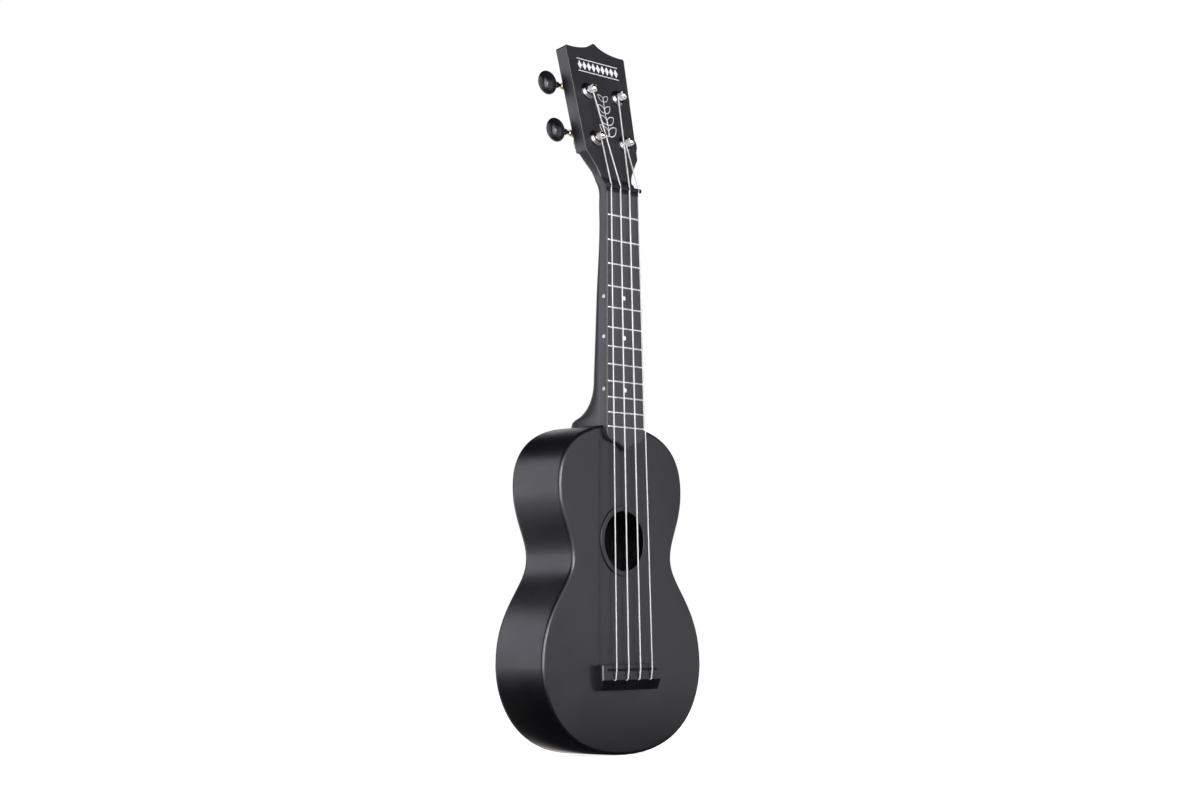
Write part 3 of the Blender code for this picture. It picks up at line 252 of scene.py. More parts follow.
def toMesh(work):
    mesh = bpy.data.meshes.new("work")
    work.to_mesh(mesh)
    work.free()
    return mesh


def joined(meshes):
    work = bmesh.new()
    for mesh in meshes:
        work.from_mesh(mesh)
    return toMesh(work)


# A skin through rings of points, with flat ends, or an end gathered to one point.
def loft(rings, closeStart=True, wrap=False):
    work = bmesh.new()
    rows = [[work.verts.new(point) for point in ring] for ring in rings]
    for near, far in zip(rows, rows[1:] + rows[:1] if wrap else rows[1:]):
        steps = max(len(near), len(far))
        for i in range(steps):
            j = (i + 1) % steps
            corners = [near[i % len(near)], near[j % len(near)], far[j % len(far)],
                       far[i % len(far)]]
            work.faces.new([c for k, c in enumerate(corners) if c is not corners[k - 1]])
    if closeStart and not wrap and len(rows[0]) > 1:
        work.faces.new(rows[0][::-1])
    if not wrap and len(rows[-1]) > 1:
        work.faces.new(rows[-1])
    bmesh.ops.recalc_face_normals(work, faces=work.faces)
    return toMesh(work)


def angles(first, last, steps):
    return [math.radians(first + (last - first) * i / steps) for i in range(steps + 1)]


def around(centre, radius, turns):
    return [(centre[0] + radius * math.cos(a), centre[1] + radius * math.sin(a)) for a in turns]


# A quarter round: how far each point is in from the one face and from the other.
def quarter(radius, steps):
    return [(radius * (1 - math.cos(a)), radius * (1 - math.sin(a))) for a in angles(0, 90, steps)]


# A turned shape about Z; the profile is a list of radius and height. A closed one is a ring.
def turned(profile, steps=48, closed=False, matrix=None):
    rings = [[Vector((radius * math.cos(a), radius * math.sin(a), height))
              for a in (2 * math.pi * i / steps for i in range(steps if radius else 1))]
             for radius, height in profile]
    mesh = loft(rings, wrap=closed)
    mesh.transform(matrix or Matrix())
    return mesh


def box(low, high):
    work = bmesh.new()
    size, middle = Vector(high) - Vector(low), (Vector(high) + Vector(low)) / 2
    bmesh.ops.create_cube(work, size=1,
                          matrix=Matrix.Translation(middle) @ Matrix.Diagonal((*size, 1)))
    return toMesh(work)


def drill(radius, low, high, matrix=None, steps=48):
    return turned([(0, high), (radius, high), (radius, low), (0, low)], steps, matrix=matrix)


def prism(outline, low, high, matrix=None):
    mesh = loft([[Vector((x, y, level)) for x, y in outline] for level in (low, high)])
    mesh.transform(matrix or Matrix())
    return mesh


def bezier(start, first, second, end, steps):
    points = []
    for i in range(1, steps + 1):
        t = i / steps
        weights = ((1 - t) ** 3, 3 * t * (1 - t) ** 2, 3 * t * t * (1 - t), t ** 3)
        points.append(sum((w * Vector(p) for w, p in zip(weights, (start, first, second, end))),
                          Vector((0,) * len(start))))
    return points


# Arcs end to end, each given by its two handles, its end and its steps.
def chain(start, *arcs):
    points = [Vector(start)]
    for arc in arcs:
        points += bezier(points[-1], *arc)
    return points


def mirrored(points):
    return [Vector((-p.x, p.y)) for p in reversed(points)]


def inset(points, width):
    inside = []
    for i, point in enumerate(points):
        along = (points[(i + 1) % len(points)] - points[i - 1]).normalized()
        inside.append(point - width * Vector((along.y, -along.x)))
    return inside


def guideObject(data, name="work"):
    guide = bpy.data.objects.new(name, data)
    scene.collection.objects.link(guide)
    return guide


def evaluated(guide, name="work"):
    bpy.context.view_layer.update()
    mesh = bpy.data.meshes.new_from_object(
        guide.evaluated_get(bpy.context.evaluated_depsgraph_get()))
    bpy.data.objects.remove(guide, do_unlink=True)
    mesh.name = name
    return mesh


# A mesh after one modifier with the given settings.
def modified(mesh, kind, name="work", **settings):
    part = guideObject(mesh)
    modifier = part.modifiers.new("step", kind)
    for key, value in settings.items():
        setattr(modifier, key, value)
    return evaluated(part, name)


def combined(mesh, tools, operation):
    tool = guideObject(joined(tools))
    mesh = modified(mesh, "BOOLEAN", operation=operation, object=tool)
    bpy.data.objects.remove(tool, do_unlink=True)
    return mesh


def cut(mesh, *tools):
    return combined(mesh, tools, "DIFFERENCE")


def united(mesh, *tools):
    return combined(mesh, tools, "UNION")


def bevelled(mesh, width, segments, angle):
    return modified(mesh, "BEVEL", width=width, segments=segments, limit_method="ANGLE",
                    angle_limit=math.radians(angle), use_clamp_overlap=True)


def lineMesh(points, grown=None):
    line = bpy.data.meshes.new("path")
    line.from_pydata(points, [(i, i + 1) for i in range(len(points) - 1)], [])
    if grown:
        mark(line, "grown", grown)
    return line


def mark(mesh, name, values):
    mesh.attributes.new(name, "FLOAT", "POINT").data.foreach_set("value", values)


# A finished piece: in place, welded, smooth between its sharp edges, and riding on its body.
def addPiece(name, mesh, place, finish, replaced, body="body", sharpAt=32):
    mesh.transform(place)
    work = bmesh.new()
    work.from_mesh(mesh)
    bmesh.ops.remove_doubles(work, verts=work.verts, dist=whole["weld"])
    loose = [v for v in work.verts if not v.link_faces]
    bmesh.ops.delete(work, geom=loose, context="VERTS")
    work.to_mesh(mesh)
    work.free()
    mesh.shade_smooth()
    mesh.set_sharp_from_angle(angle=math.radians(sharpAt))
    slotName, material = finishes[finish]
    mesh.materials.clear()
    mesh.materials.append(material)
    piece = guideObject(modified(mesh, "WEIGHTED_NORMAL", name, keep_sharp=True), name)
    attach(piece, body)
    if replaced:
        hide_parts(*replaced)


# A Geometry Nodes tree, with named inputs for what a user would change.
class Tree(Graph):
    def __init__(self, name, inputs):
        self.group = bpy.data.node_groups.new(name, "GeometryNodeTree")
        super().__init__(self.group)
        sockets = self.group.interface
        for way in ("OUTPUT", "INPUT"):
            sockets.new_socket("Geometry", in_out=way, socket_type="NodeSocketGeometry")
        self.identifiers = {}
        for label, kind in {**inputs, "Finish": "Material"}.items():
            made = sockets.new_socket(label, in_out="INPUT", socket_type="NodeSocket" + kind)
            self.identifiers[label] = made.identifier
        self.source = self.nodes.new("NodeGroupInput")

    def given(self, label):
        return Wire(self, self.source.outputs[label])

    def curve(self):
        return self.node("GeometryNodeMeshToCurve", {"Mesh": self.given("Geometry")})

    def copies(self, points, label, values):
        unit = self.node("GeometryNodeObjectInfo", {"Object": self.given(label)}, "Geometry")
        return self.node("GeometryNodeInstanceOnPoints",
                         {"Points": points, "Instance": unit, **values})

    # The given line as a tube, whose thickness follows the line's grown values.
    def sweep(self, profile):
        grown = self.node("GeometryNodeInputNamedAttribute", {"Name": "grown"}, data_type="FLOAT")
        return self.node("GeometryNodeCurveToMesh", {
            "Curve": self.curve(), "Profile Curve": profile, "Scale": grown, "Fill Caps": True})

    def end(self, geometry):
        real = self.node("GeometryNodeRealizeInstances", {"Geometry": geometry})
        painted = self.node("GeometryNodeSetMaterial",
                            {"Geometry": real, "Material": self.given("Finish")})
        self.feed(self.nodes.new("NodeGroupOutput").inputs[0], painted)

    # Runs the tree on a start mesh. A mesh among the values stands in as an object.
    def bake(self, finish, values, start=None):
        guide = guideObject(start or bpy.data.meshes.new("empty"))
        modifier = guide.modifiers.new("rule", "NODES")
        modifier.node_group = self.group
        units = []
        for label, value in {**values, "Finish": finishes[finish][1]}.items():
            if isinstance(value, bpy.types.Mesh):
                value = guideObject(value)
                units.append(value)
            modifier[self.identifiers[label]] = value
        mesh = evaluated(guide)
        for unit in units:
            bpy.data.objects.remove(unit, do_unlink=True)
        return mesh


# Body. A bout is its half width and height, with the handles below and above it.
body = {
    "length": 0.2355, "tailHandle": 0.0825, "topHandle": 0.0651, "steps": (22, 18, 15, 20),
    "lowerBout": (0.0863, 0.0636, 0.0097, 0.0428), "waist": (0.0538, 0.1397, 0.0197, 0.0145),
    "upperBout": (0.0671, 0.1894, 0.0225, 0.0121),
    "sideDepth": 0.0484, "backArch": 0.0080, "backBulge": 2.2, "wall": 0.0020,
    "frontEdge": 0.0025, "backEdge": 0.0050, "thickness": 0.0022,
    "seam": 0.0035, "seamGap": 0.00002, "lip": 0.0035, "lipGap": 0.0003, "lipThickness": 0.0012,
    "holeHeight": 0.1520, "holeRadius": 0.0214, "ringRadius": 0.0255, "ringEdge": 0.00042,
    "ringSunk": 0.0012, "ringSleeve": 0.0030, "ringBelow": 0.0006, "ringSeat": 0.001,
    "ribLength": 0.092, "ribThickness": 0.003, "ribDepth": 0.0045, "ribFromRing": 0.007,
    "ribRoot": 0.0012, "archShares": (0.93, 0.84, 0.72, 0.58, 0.42, 0.26, 0.12, 0),
    "blockHalf": 0.018, "blockDepths": (0.009, 0.034), "blockHeight": 0.012, "middleDepth": 0.024,
}


def bodyOutline(inwards=0.0):
    right, leave = [Vector((0, 0))], (body["tailHandle"], 0)
    for name, steps in zip(("lowerBout", "waist", "upperBout"), body["steps"]):
        x, z, below, above = body[name]
        right += bezier(right[-1], leave, (x, z - below), (x, z), steps)
        leave = (x, z + above)
    right += bezier(right[-1], leave, (body["topHandle"], body["length"]), (0, body["length"]),
                    body["steps"][-1])
    return inset(right + mirrored(right[1:-1]), inwards)


def bodyRing(inwards, depth):
    return [Vector((p.x, depth, p.y)) for p in bodyOutline(inwards)]


def makeSoundboard():
    seam, lip = body["seam"], body["wall"] + body["lipGap"]
    inner, deep = lip + body["lipThickness"], seam + body["lip"]
    rings = [bodyRing(near, far) for far, near in quarter(body["frontEdge"], 6)]
    rings += [bodyRing(inwards, depth) for inwards, depth in (
        (0, seam), (lip, seam), (lip, deep), (inner, deep), (inner, body["thickness"]))]
    place = shift(z=body["holeHeight"]) @ facing
    wide = body["holeRadius"] + body["ringSeat"]
    mesh = cut(loft(rings), drill(wide, -through, through, place, 96))
    low, high = -body["thickness"] - body["ringBelow"], whole["ringHeight"]
    near, far = body["holeRadius"], body["ringRadius"]
    sunk, sleeve = -body["ringSunk"], near + body["ringSleeve"]
    edge = quarter(body["ringEdge"], 4)
    profile = [(near, low)] + [(near + a, high - b) for a, b in edge]
    profile += [(far - b, high - a) for a, b in edge] + [(far, sunk), (sleeve, sunk), (sleeve, low)]
    mesh = united(mesh, turned(profile, 120, True, place))
    ribs = []
    for side in (-1, 1):
        level = body["holeHeight"] + side * (body["ringRadius"] + body["ribFromRing"])
        half, reach = body["ribThickness"] / 2, body["ribLength"] / 2
        ribs.append(box((-reach, body["ribRoot"], level - half),
                        (reach, body["thickness"] + body["ribDepth"], level + half)))
    addPiece("soundboard_skin", united(mesh, *ribs), bodyFrame, "body", ["soundboard"])


# The inner wall is marked, because it is rougher and so stays dark in the sound hole.
def makeBackShell():
    deep, edge = body["sideDepth"], body["backEdge"]
    rings = [bodyRing(0, body["seam"] + body["seamGap"]), bodyRing(0, deep - edge)]
    rings += [bodyRing(edge * (1 - math.cos(a)), deep - edge * (1 - math.sin(a)))
              for a in angles(12, 84, 6)]
    middle = Vector((0, 0, body["length"] / 2))
    rim = [Vector((p.x, 0, p.z)) for p in rings[-1]]
    level = rings[-1][0].y
    for share in body["archShares"]:
        arch = Vector((0, level + body["backArch"] * (1 - share ** body["backBulge"]), 0))
        rings.append([middle + arch + share * (p - middle) for p in rim][:None if share else 1])
    mesh = modified(loft(rings, closeStart=False), "SOLIDIFY", thickness=body["wall"], offset=-1,
                    use_even_offset=True)
    half, (near, far) = body["blockHalf"], body["blockDepths"]
    mesh = united(mesh, box((-half, near, body["length"] - body["wall"] - body["blockHeight"]),
                            (half, far, body["length"] - 0.7 * body["wall"])))
    middle.y = body["middleDepth"]
    mark(mesh, "inner", [float(v.normal.dot(v.co - middle) < 0) for v in mesh.vertices])
    addPiece("back_skin", mesh, bodyFrame, "body", ["back_shell"])


makeSoundboard()
makeBackShell()
print("body ready")

# Neck and headstock. The heel's points are how far above the body's end and how far short of
# the full depth they lie.
neck = {
    "nutWidth": 0.0345, "jointWidth": 0.0410, "side": 0.0026, "backSteps": 36,
    "depthNut": 0.0110, "depthHeel": 0.0216, "heelLength": 0.0325, "heelDepth": 0.0490,
    "heelStart": (0.0185, 0.0013),
    "heelPoints": ((0.0084, 0.0135), (0.0064, 0.0049), (0.0057, 0.0034), (0.0050, 0.0020),
                   (0.0040, 0.0012), (0.0016, 0.0003), (-0.0045, 0.0)),
    "roundness": 1.7, "heelRoundness": 1.36, "roundFrom": 0.006, "roundOver": 0.030,
    "edge": 0.00012, "headEdge": 0.0006, "flareEdge": 0.0011,
    "nutRidge": 0.0030, "shoulder": 0.0028, "ramp": 0.0105, "lean": 0.28,
    "lowerHalf": 0.0288, "lowerReach": 0.0282, "upperHalf": 0.0328,
    "cornerReach": 0.1091, "peakReach": 0.1158, "postWay": 0.0044,
    "rampGap": 0.0002, "rampSunk": 0.00008, "rampInset": 0.0001,
    "rootThicker": (0.0025, 0.0017, 0.0016), "bodyGap": 0.0002, "bevel": 0.0004,
    "flareHandles": ((0.0006, 0.0050), (-0.0070, -0.0092)),
}


def boardHalfWidth(height):
    share = (nutHeight - height) / (nutHeight - jointHeight)
    return (neck["nutWidth"] + (neck["jointWidth"] - neck["nutWidth"]) * share) / 2


def neckSection(half, depth, roundness, edge):
    corner = [(half - edge + edge * math.sin(a), edge - edge * math.cos(a))
              for a in angles(30, 90, 2)]
    back = []
    for a in angles(0, 180, neck["backSteps"]):
        across = math.copysign(abs(math.cos(a)) ** (2 / roundness), math.cos(a))
        rise = (depth - neck["side"]) * math.sin(a) ** (2 / roundness)
        back.append((half * across, neck["side"] + rise))
    return ([(-half + edge, 0), (half - edge, 0)] + corner + back
            + [(-x, y) for x, y in reversed(corner)])


def uprightRing(height, depth, roundness, half=None, lean=0.0):
    section = neckSection(half or boardHalfWidth(height), depth, roundness, neck["edge"])
    return [Vector((x, y, height - lean * y)) for x, y in section]


def headRing(reach, half, depth, roundness, edge):
    return [headInBody @ Vector((x, reach, -y))
            for x, y in neckSection(half, depth, roundness, edge)]


# A smooth curve through the matching points of the rings, whatever their spacing.
def smoothed(rings, steps):
    gaps = [max(1e-6, sum((r - q).length for q, r in zip(near, far)) / len(near))
            for near, far in zip(rings, rings[1:])]
    rates = [[(r - q) / gap for q, r in zip(near, far)]
             for near, far, gap in zip(rings, rings[1:], gaps)]
    slopes = [rates[0]]
    for i in range(1, len(gaps)):
        share = gaps[i - 1] / (gaps[i - 1] + gaps[i])
        slopes.append([u * (1 - share) + v * share for u, v in zip(rates[i - 1], rates[i])])
    slopes.append(rates[-1])
    result = [rings[0]]
    for i, gap in enumerate(gaps):
        for step in range(1, steps + 1):
            t = step / steps
            ahead = t * t * (3 - 2 * t)
            leave, meet = gap * t * (1 - t) ** 2, gap * t * t * (t - 1)
            result.append([q * (1 - ahead) + r * ahead + u * leave + v * meet for q, r, u, v in zip(
                rings[i], rings[i + 1], slopes[i], slopes[i + 1])])
    return result


# Heights and depths of the heel's back line, from the slender neck down to its cap.
def heelProfile():
    base, deep = body["length"], neck["heelDepth"]
    up, out = neck["heelStart"]
    low, bend, over, under, lip, cap, end = [(base + rise, deep - short)
                                             for rise, short in neck["heelPoints"]]
    profile = chain((base + neck["heelLength"], neck["depthHeel"]),
                    ((base + up, neck["depthHeel"] + out), low, bend, 14), (over, under, lip, 5))
    return profile + [Vector(cap), Vector(end)]


def heelRoundness(height):
    share = min(1, max(0, (height - body["length"] - neck["roundFrom"]) / neck["roundOver"]))
    return neck["heelRoundness"] + (neck["roundness"] - neck["heelRoundness"]) * share


def crestOutline():
    half, corner, peak = neck["upperHalf"], neck["cornerReach"], neck["peakReach"]
    right = [Vector((half + 0.004, corner - 0.0056))] + chain(
        (half, corner - 0.0014),
        ((half - 0.0003, corner - 0.0007), (half - 0.0011, corner - 0.0001),
         (half - 0.0015, corner + 0.0003), 4),
        ((0.67 * half, corner - 0.0005), (0.20 * half, corner + 0.0015), (0.0009, peak), 14))
    above = [Vector((side * (half + 0.004), peak + 0.02)) for side in (-1, 1)]
    return right + mirrored(right) + above


# The block behind the nut that slopes down to the face of the headstock.
def rampBlock():
    start = nutHeight + neck["nutRidge"] + neck["rampGap"]
    end, fall = start + neck["ramp"], math.tan(whole["headTilt"])
    low = whole["headDrop"] + (end - nutHeight) * fall + neck["rampSunk"]
    outline = [(low, start), (boardTop, start)] + chain(
        (boardTop, start + 0.0005),
        ((boardTop + 0.36 * (low - boardTop), start + 0.2 * neck["ramp"]),
         (low - 0.45 * neck["ramp"] * fall, end - 0.45 * neck["ramp"]), (low, end), 10))
    half = neck["nutWidth"] / 2 - neck["rampInset"]
    return prism(outline, -half, half, sideways)


def makeNeck():
    usual, thick, narrow = neck["roundness"], whole["headThickness"], neck["nutWidth"] / 2
    rings = [uprightRing(height, depth, heelRoundness(height))
             for height, depth in reversed(heelProfile())]
    slender = nutHeight - 0.04 * whole["scaleLength"]
    halfWay = (slender + body["length"] + neck["heelLength"]) / 2
    low, (atNut, atRoot, atFlare) = 0.3 * neck["lowerReach"], neck["rootThicker"]
    keys = [rings[-1], uprightRing(halfWay, (neck["depthNut"] + neck["depthHeel"]) / 2, usual),
            uprightRing(slender, neck["depthNut"], usual),
            uprightRing(nutHeight + neck["nutRidge"] + neck["shoulder"], thick + atNut,
                        usual + 0.25, narrow, neck["lean"]),
            headRing(low, narrow, thick + atRoot, usual + 0.45, neck["headEdge"])]
    (wider, higher), (narrower, lower) = neck["flareHandles"]
    flare = bezier((narrow, low), (narrow + wider, low + higher),
                   (neck["lowerHalf"] + narrower, neck["lowerReach"] + lower),
                   (neck["lowerHalf"], neck["lowerReach"]), 5)
    for i, (half, reach) in enumerate(flare):
        keys.append(headRing(reach, half, thick + atFlare * (1 - i / 4),
                             usual + 0.6 + 0.25 * i * i, neck["flareEdge"]))
    rings = rings[:-1] + smoothed(keys, 6)
    for reach in (neck["lowerReach"] + 0.0004, neck["peakReach"] + 0.004):
        share = (reach - neck["lowerReach"]) / (neck["cornerReach"] - neck["lowerReach"])
        half = neck["lowerHalf"] + (neck["upperHalf"] - neck["lowerHalf"]) * share
        rings.append(headRing(reach, half, thick, 40, neck["headEdge"]))
    mesh = united(loft(rings), rampBlock())
    mesh = cut(mesh, prism(bodyOutline(-neck["bodyGap"]), -0.06, 0.1, facing))
    ways = [drill(neck["postWay"], -0.03, 0.02, headInBody @ Matrix.Translation(place), 40)
            for place in postPlaces.values()]
    mesh = cut(mesh, prism(crestOutline(), -0.03, 0.02, headInBody), *ways)
    addPiece("neck_skin", bevelled(mesh, neck["bevel"], 2, 50), bodyFrame, "neck", ["neck"],
             sharpAt=30)


makeNeck()
print("neck ready")

# Fretboard, dots and frets
board = {
    "edge": 0.0008, "shoulder": 0.0106, "tip": 0.0168,
    "dotFrets": (5, 7, 10), "dotRadius": 0.0016, "dotDepth": 0.0004, "dotClear": 0.00003,
    "sideDotRadius": 0.0014, "sideDotDepth": 0.0003, "sideDotLevel": -0.0004,
    # Heights of a dot's middle, shoulder and rim, for the face and for the side.
    "dotCrowns": ((0.00004, 0.00003, -0.00002), (0.00006, 0.00005, 0.00001)),
    "slot": 0.0007, "slotDepth": 0.0011,
}
frets = {
    "count": 12, "width": 0.0015, "height": 0.00085, "short": 0.0009, "lift": 0.00003,
    "tang": 0.0005, "tangDepth": 0.0010, "tangTop": 0.0001, "tangReach": 0.497,
    "slotClear": 0.0002,
    # How far the crown has grown at a distance from its end, for a fret of unit length.
    "ends": ((0, 0.30), (0.0020, 0.62), (0.005, 0.82), (0.010, 0.95), (0.018, 1.0)),
}


def fretHeight(number):
    return nutHeight - whole["scaleLength"] * (1 - 2 ** (-number / 12))


def boardOutline(inwards):
    start, top = nutHeight + neck["nutRidge"] + 0.0001, jointHeight - 0.15 * board["shoulder"]
    wide, shoulder, tip = boardHalfWidth(top), board["shoulder"], board["tip"]
    heights = [start] + [fretHeight(i) for i in range(1, frets["count"])]
    right = [Vector((boardHalfWidth(h), h)) for h in heights] + chain(
        (wide, top),
        ((wide, jointHeight - 0.65 * shoulder), (0.9 * wide, jointHeight - 0.93 * shoulder),
         (0.6 * wide, jointHeight - shoulder), 10),
        ((0.32 * wide, jointHeight - 1.05 * shoulder), (0.12 * wide, jointHeight - 0.87 * tip),
         (0, jointHeight - tip), 12))
    points = mirrored(right[-2::-1]) + right[::-1]
    inside = []
    for i, point in enumerate(points):
        before = (point - points[i - 1]).normalized()
        after = (points[(i + 1) % len(points)] - point).normalized()
        along = (before + after).normalized()
        inside.append(point - inwards / max(0.6, along.dot(after)) * Vector((along.y, -along.x)))
    return inside


def dotHeights():
    return [(fretHeight(n) + fretHeight(n - 1)) / 2 for n in board["dotFrets"]]


def makeFretboard():
    levels = [(0, whole["boardUnderside"])]
    levels += [(near, boardTop + far) for near, far in quarter(board["edge"], 4)]
    mesh = loft([[Vector((x, depth, z)) for x, z in boardOutline(inwards)]
                 for inwards, depth in levels])
    tools = []
    for number in range(1, frets["count"] + 1):
        height, half = fretHeight(number), board["slot"] / 2
        across = boardHalfWidth(height) - frets["short"] - frets["slotClear"]
        tools.append(box((-across, boardTop - 0.001, height - half),
                         (across, boardTop + board["slotDepth"], height + half)))
    for height in dotHeights():
        tools.append(drill(board["dotRadius"] + board["dotClear"], -board["dotDepth"], 0.001,
                           shift(0, boardTop, height) @ facing))
    addPiece("fretboard_skin", cut(mesh, *tools), bodyFrame, "board", ["fretboard"])


# Round inlays: three in the face of the fretboard and three smaller ones down its left side.
def makeDots():
    discs = []
    for height in dotHeights():
        left = shift(-boardHalfWidth(height), board["sideDotLevel"], height)
        for place, r, deep, crown in (
                (shift(0, boardTop, height) @ facing, board["dotRadius"], board["dotDepth"],
                 board["dotCrowns"][0]),
                (left @ turn(-90, "Y"), board["sideDotRadius"], board["sideDotDepth"],
                 board["dotCrowns"][1])):
            profile = [*zip((0, 0.8 * r, r), crown), (r, -deep), (0, -deep)]
            discs.append(turned(profile, 40, matrix=place))
    addPiece("fret_dots", joined(discs), bodyFrame, "inlay", [])


# One fret of unit length: a domed crown with rounded ends on a narrow tang.
def unitFret():
    crown = [(0.5 * frets["width"] * math.cos(a), frets["height"] * math.sin(a) ** 0.85)
             for a in angles(0, 180, 16)]
    rings = [[Vector((place - 0.5, -grown * y, grown * x)) for x, y in crown]
             for place, grown in frets["ends"]]
    rings += [[Vector((-p.x, p.y, p.z)) for p in ring] for ring in reversed(rings)]
    half, reach = frets["tang"] / 2, frets["tangReach"]
    return joined([loft(rings), box((-reach, -frets["tangTop"], -half),
                                    (reach, frets["tangDepth"], half))])


# The places follow the rule of equal temperament, and the lengths follow the taper.
def makeFrets():
    tree = Tree("fretRule", {
        "Unit Fret": "Object", "Count": "Int", "Scale Length": "Float", "Nut Height": "Float",
        "Level": "Float", "Nut Length": "Float", "Taper": "Float"})
    number = tree.node("GeometryNodeInputIndex") + 1.0
    travel = tree.given("Scale Length") * (1.0 - 2.0 ** (number / -12.0))
    length = tree.given("Nut Length") + travel * tree.given("Taper")
    place = tree.node("ShaderNodeCombineXYZ", {
        "Y": tree.given("Level"), "Z": tree.given("Nut Height") - travel})
    line = tree.node("GeometryNodeMeshLine", {"Count": tree.given("Count")})
    points = tree.node("GeometryNodeSetPosition", {"Geometry": line, "Position": place})
    stretch = tree.node("ShaderNodeCombineXYZ", {"X": length, "Y": 1.0, "Z": 1.0})
    tree.end(tree.copies(points, "Unit Fret", {"Scale": stretch}))
    mesh = tree.bake("fret", {
        "Unit Fret": unitFret(), "Count": frets["count"], "Scale Length": whole["scaleLength"],
        "Nut Height": nutHeight, "Level": boardTop - frets["lift"],
        "Nut Length": neck["nutWidth"] - 2 * frets["short"],
        "Taper": (neck["jointWidth"] - neck["nutWidth"]) / (whole["scaleLength"] / 2)})
    names = [f"fret_{n:02d}" for n in range(1, frets["count"] + 1)]
    addPiece("fret_set", mesh, bodyFrame, "fret", names, sharpAt=40)


makeFretboard()
makeDots()
makeFrets()
print("fretboard ready")

# Nut, bridge and saddle
nut = {"ledge": 0.0024, "ridge": 0.0030, "height": 0.0029, "overhang": 0.0006,
       "stringAbove": 0.0022, "corner": 0.0009, "lift": 0.0003, "notchClear": 0.00008,
       "notchHeight": 0.004, "bevel": 0.00022}
bridge = {
    "width": 0.0640, "height": 0.0070, "aboveSaddle": 0.0034, "flat": 0.0105,
    "bevelLength": 0.0073, "bevelDrop": 0.0031, "chamfer": 0.0010, "slot": 0.0013,
    "slit": 0.0005, "mouth": 0.0006, "knot": 0.0012, "floor": 0.0006, "underside": -0.00002,
    "saddleWidth": 0.0520, "saddleThickness": 0.0013, "saddleSeat": 0.0042, "saddleClear": 0.0001,
    "saddleEnds": ((0, 0.35), (0.0002, 0.15), (0.0006, 0)), "saddleGroove": 0.0005,
    "saddleFoot": 0.00005, "knotClear": 0.0003, "overlap": 0.0002, "bevel": 0.00012,
}
bridgeUpper = saddleHeight + bridge["aboveSaddle"]
bridgeEdge = bridgeUpper - bridge["flat"]
bridgeFoot = bridgeEdge - bridge["bevelLength"]


def spread(width):
    return [width * (i / 3 - 0.5) for i in range(4)]


def makeNut():
    ledge, ridge, under = (boardTop - nut["lift"], boardTop - nut["height"],
                           boardTop + nut["lift"])
    start, end, corner = nutHeight - nut["ledge"], nutHeight + nut["ridge"], nut["corner"]
    outline = [(under, start), (ledge, start), (ledge, nutHeight)]
    outline += around((ridge + corner, nutHeight + corner), corner, angles(-90, -180, 4))
    outline += around((ridge + corner, end - corner), corner, angles(-180, -270, 4))
    half = neck["nutWidth"] / 2 + nut["overhang"]
    mesh = prism(outline + [(under, end)], -half, half, sideways)
    notches = []
    for x, thick in zip(spread(whole["stringSpreadNut"]), whole["stringDiameters"]):
        deep, wide = boardTop - nut["stringAbove"], thick / 2 + nut["notchClear"]
        profile = around((x, deep), wide, angles(180, 0, 8))
        profile += [(end, deep - nut["notchHeight"]) for end in (x + wide, x - wide)]
        notches.append(prism(profile, -through, through, shift(z=nutHeight)))
    mesh = bevelled(cut(mesh, *notches), nut["bevel"], 2, 45)
    addPiece("nut_skin", mesh, bodyFrame, "gloss", ["nut"])


def bridgeRing(across, height):
    under = bridge["underside"]
    return [Vector((across, depth, level)) for depth, level in (
        (under, bridgeUpper), (-height, bridgeUpper), (-height, bridgeEdge),
        (-height + bridge["bevelDrop"], bridgeFoot), (under, bridgeFoot))]


def makeBridge():
    half, chamfer, high = bridge["width"] / 2, bridge["chamfer"], bridge["height"]
    mesh = loft([bridgeRing(-half, high - chamfer), bridgeRing(-half + chamfer, high),
                 bridgeRing(half - chamfer, high), bridgeRing(half, high - chamfer)])
    wide, thick = (bridge[side] / 2 + bridge["saddleClear"]
                   for side in ("saddleWidth", "saddleThickness"))
    mesh = cut(mesh, box((-wide, -2 * through, saddleHeight - thick),
                         (wide, -bridge["saddleSeat"], saddleHeight + thick)))
    pocket, floor = bridge["knot"] + bridge["knotClear"], bridge["floor"]
    roof, low = -2 * pocket - floor, bridgeFoot - pocket
    slit, mouth = bridge["slit"] / 2, bridge["slot"] / 2
    for x in spread(whole["stringSpreadSaddle"]):
        for half, near, far, start, end in (
                (slit, -2 * through, roof, low, bridgeEdge),
                (mouth, -2 * through, roof + bridge["overlap"], bridgeEdge - bridge["mouth"],
                 bridgeEdge + 0.4 * mouth),
                (pocket, roof, -floor, low, bridgeFoot + 2.8 * pocket)):
            mesh = cut(mesh, box((x - half, near, start), (x + half, far, end)))
    addPiece("bridge_skin", bevelled(mesh, bridge["bevel"], 2, 12), bodyFrame, "body", ["bridge"])


def makeSaddle():
    top = -(whole["stringAboveSoundboard"] - bridge["saddleGroove"])
    half, reach = bridge["saddleThickness"] / 2, bridge["saddleWidth"] / 2
    foot, ends = -bridge["saddleSeat"] - bridge["saddleFoot"], bridge["saddleEnds"]
    rings = []
    for across, shrink in ([(-reach + inwards, shrink) for inwards, shrink in ends]
                           + [(reach - inwards, shrink) for inwards, shrink in reversed(ends)]):
        crown = [(top + half * (0.75 * (1 - math.sin(a)) + shrink),
                  (1 - 0.3 * shrink) * half * math.cos(a)) for a in angles(0, 180, 12)]
        rings.append([Vector((across, y, saddleHeight + z))
                      for y, z in [(foot, half)] + crown + [(foot, -half)]])
    addPiece("saddle_skin", loft(rings), bodyFrame, "gloss", ["saddle"], sharpAt=40)


makeNut()
makeBridge()
makeSaddle()
print("nut and bridge ready")

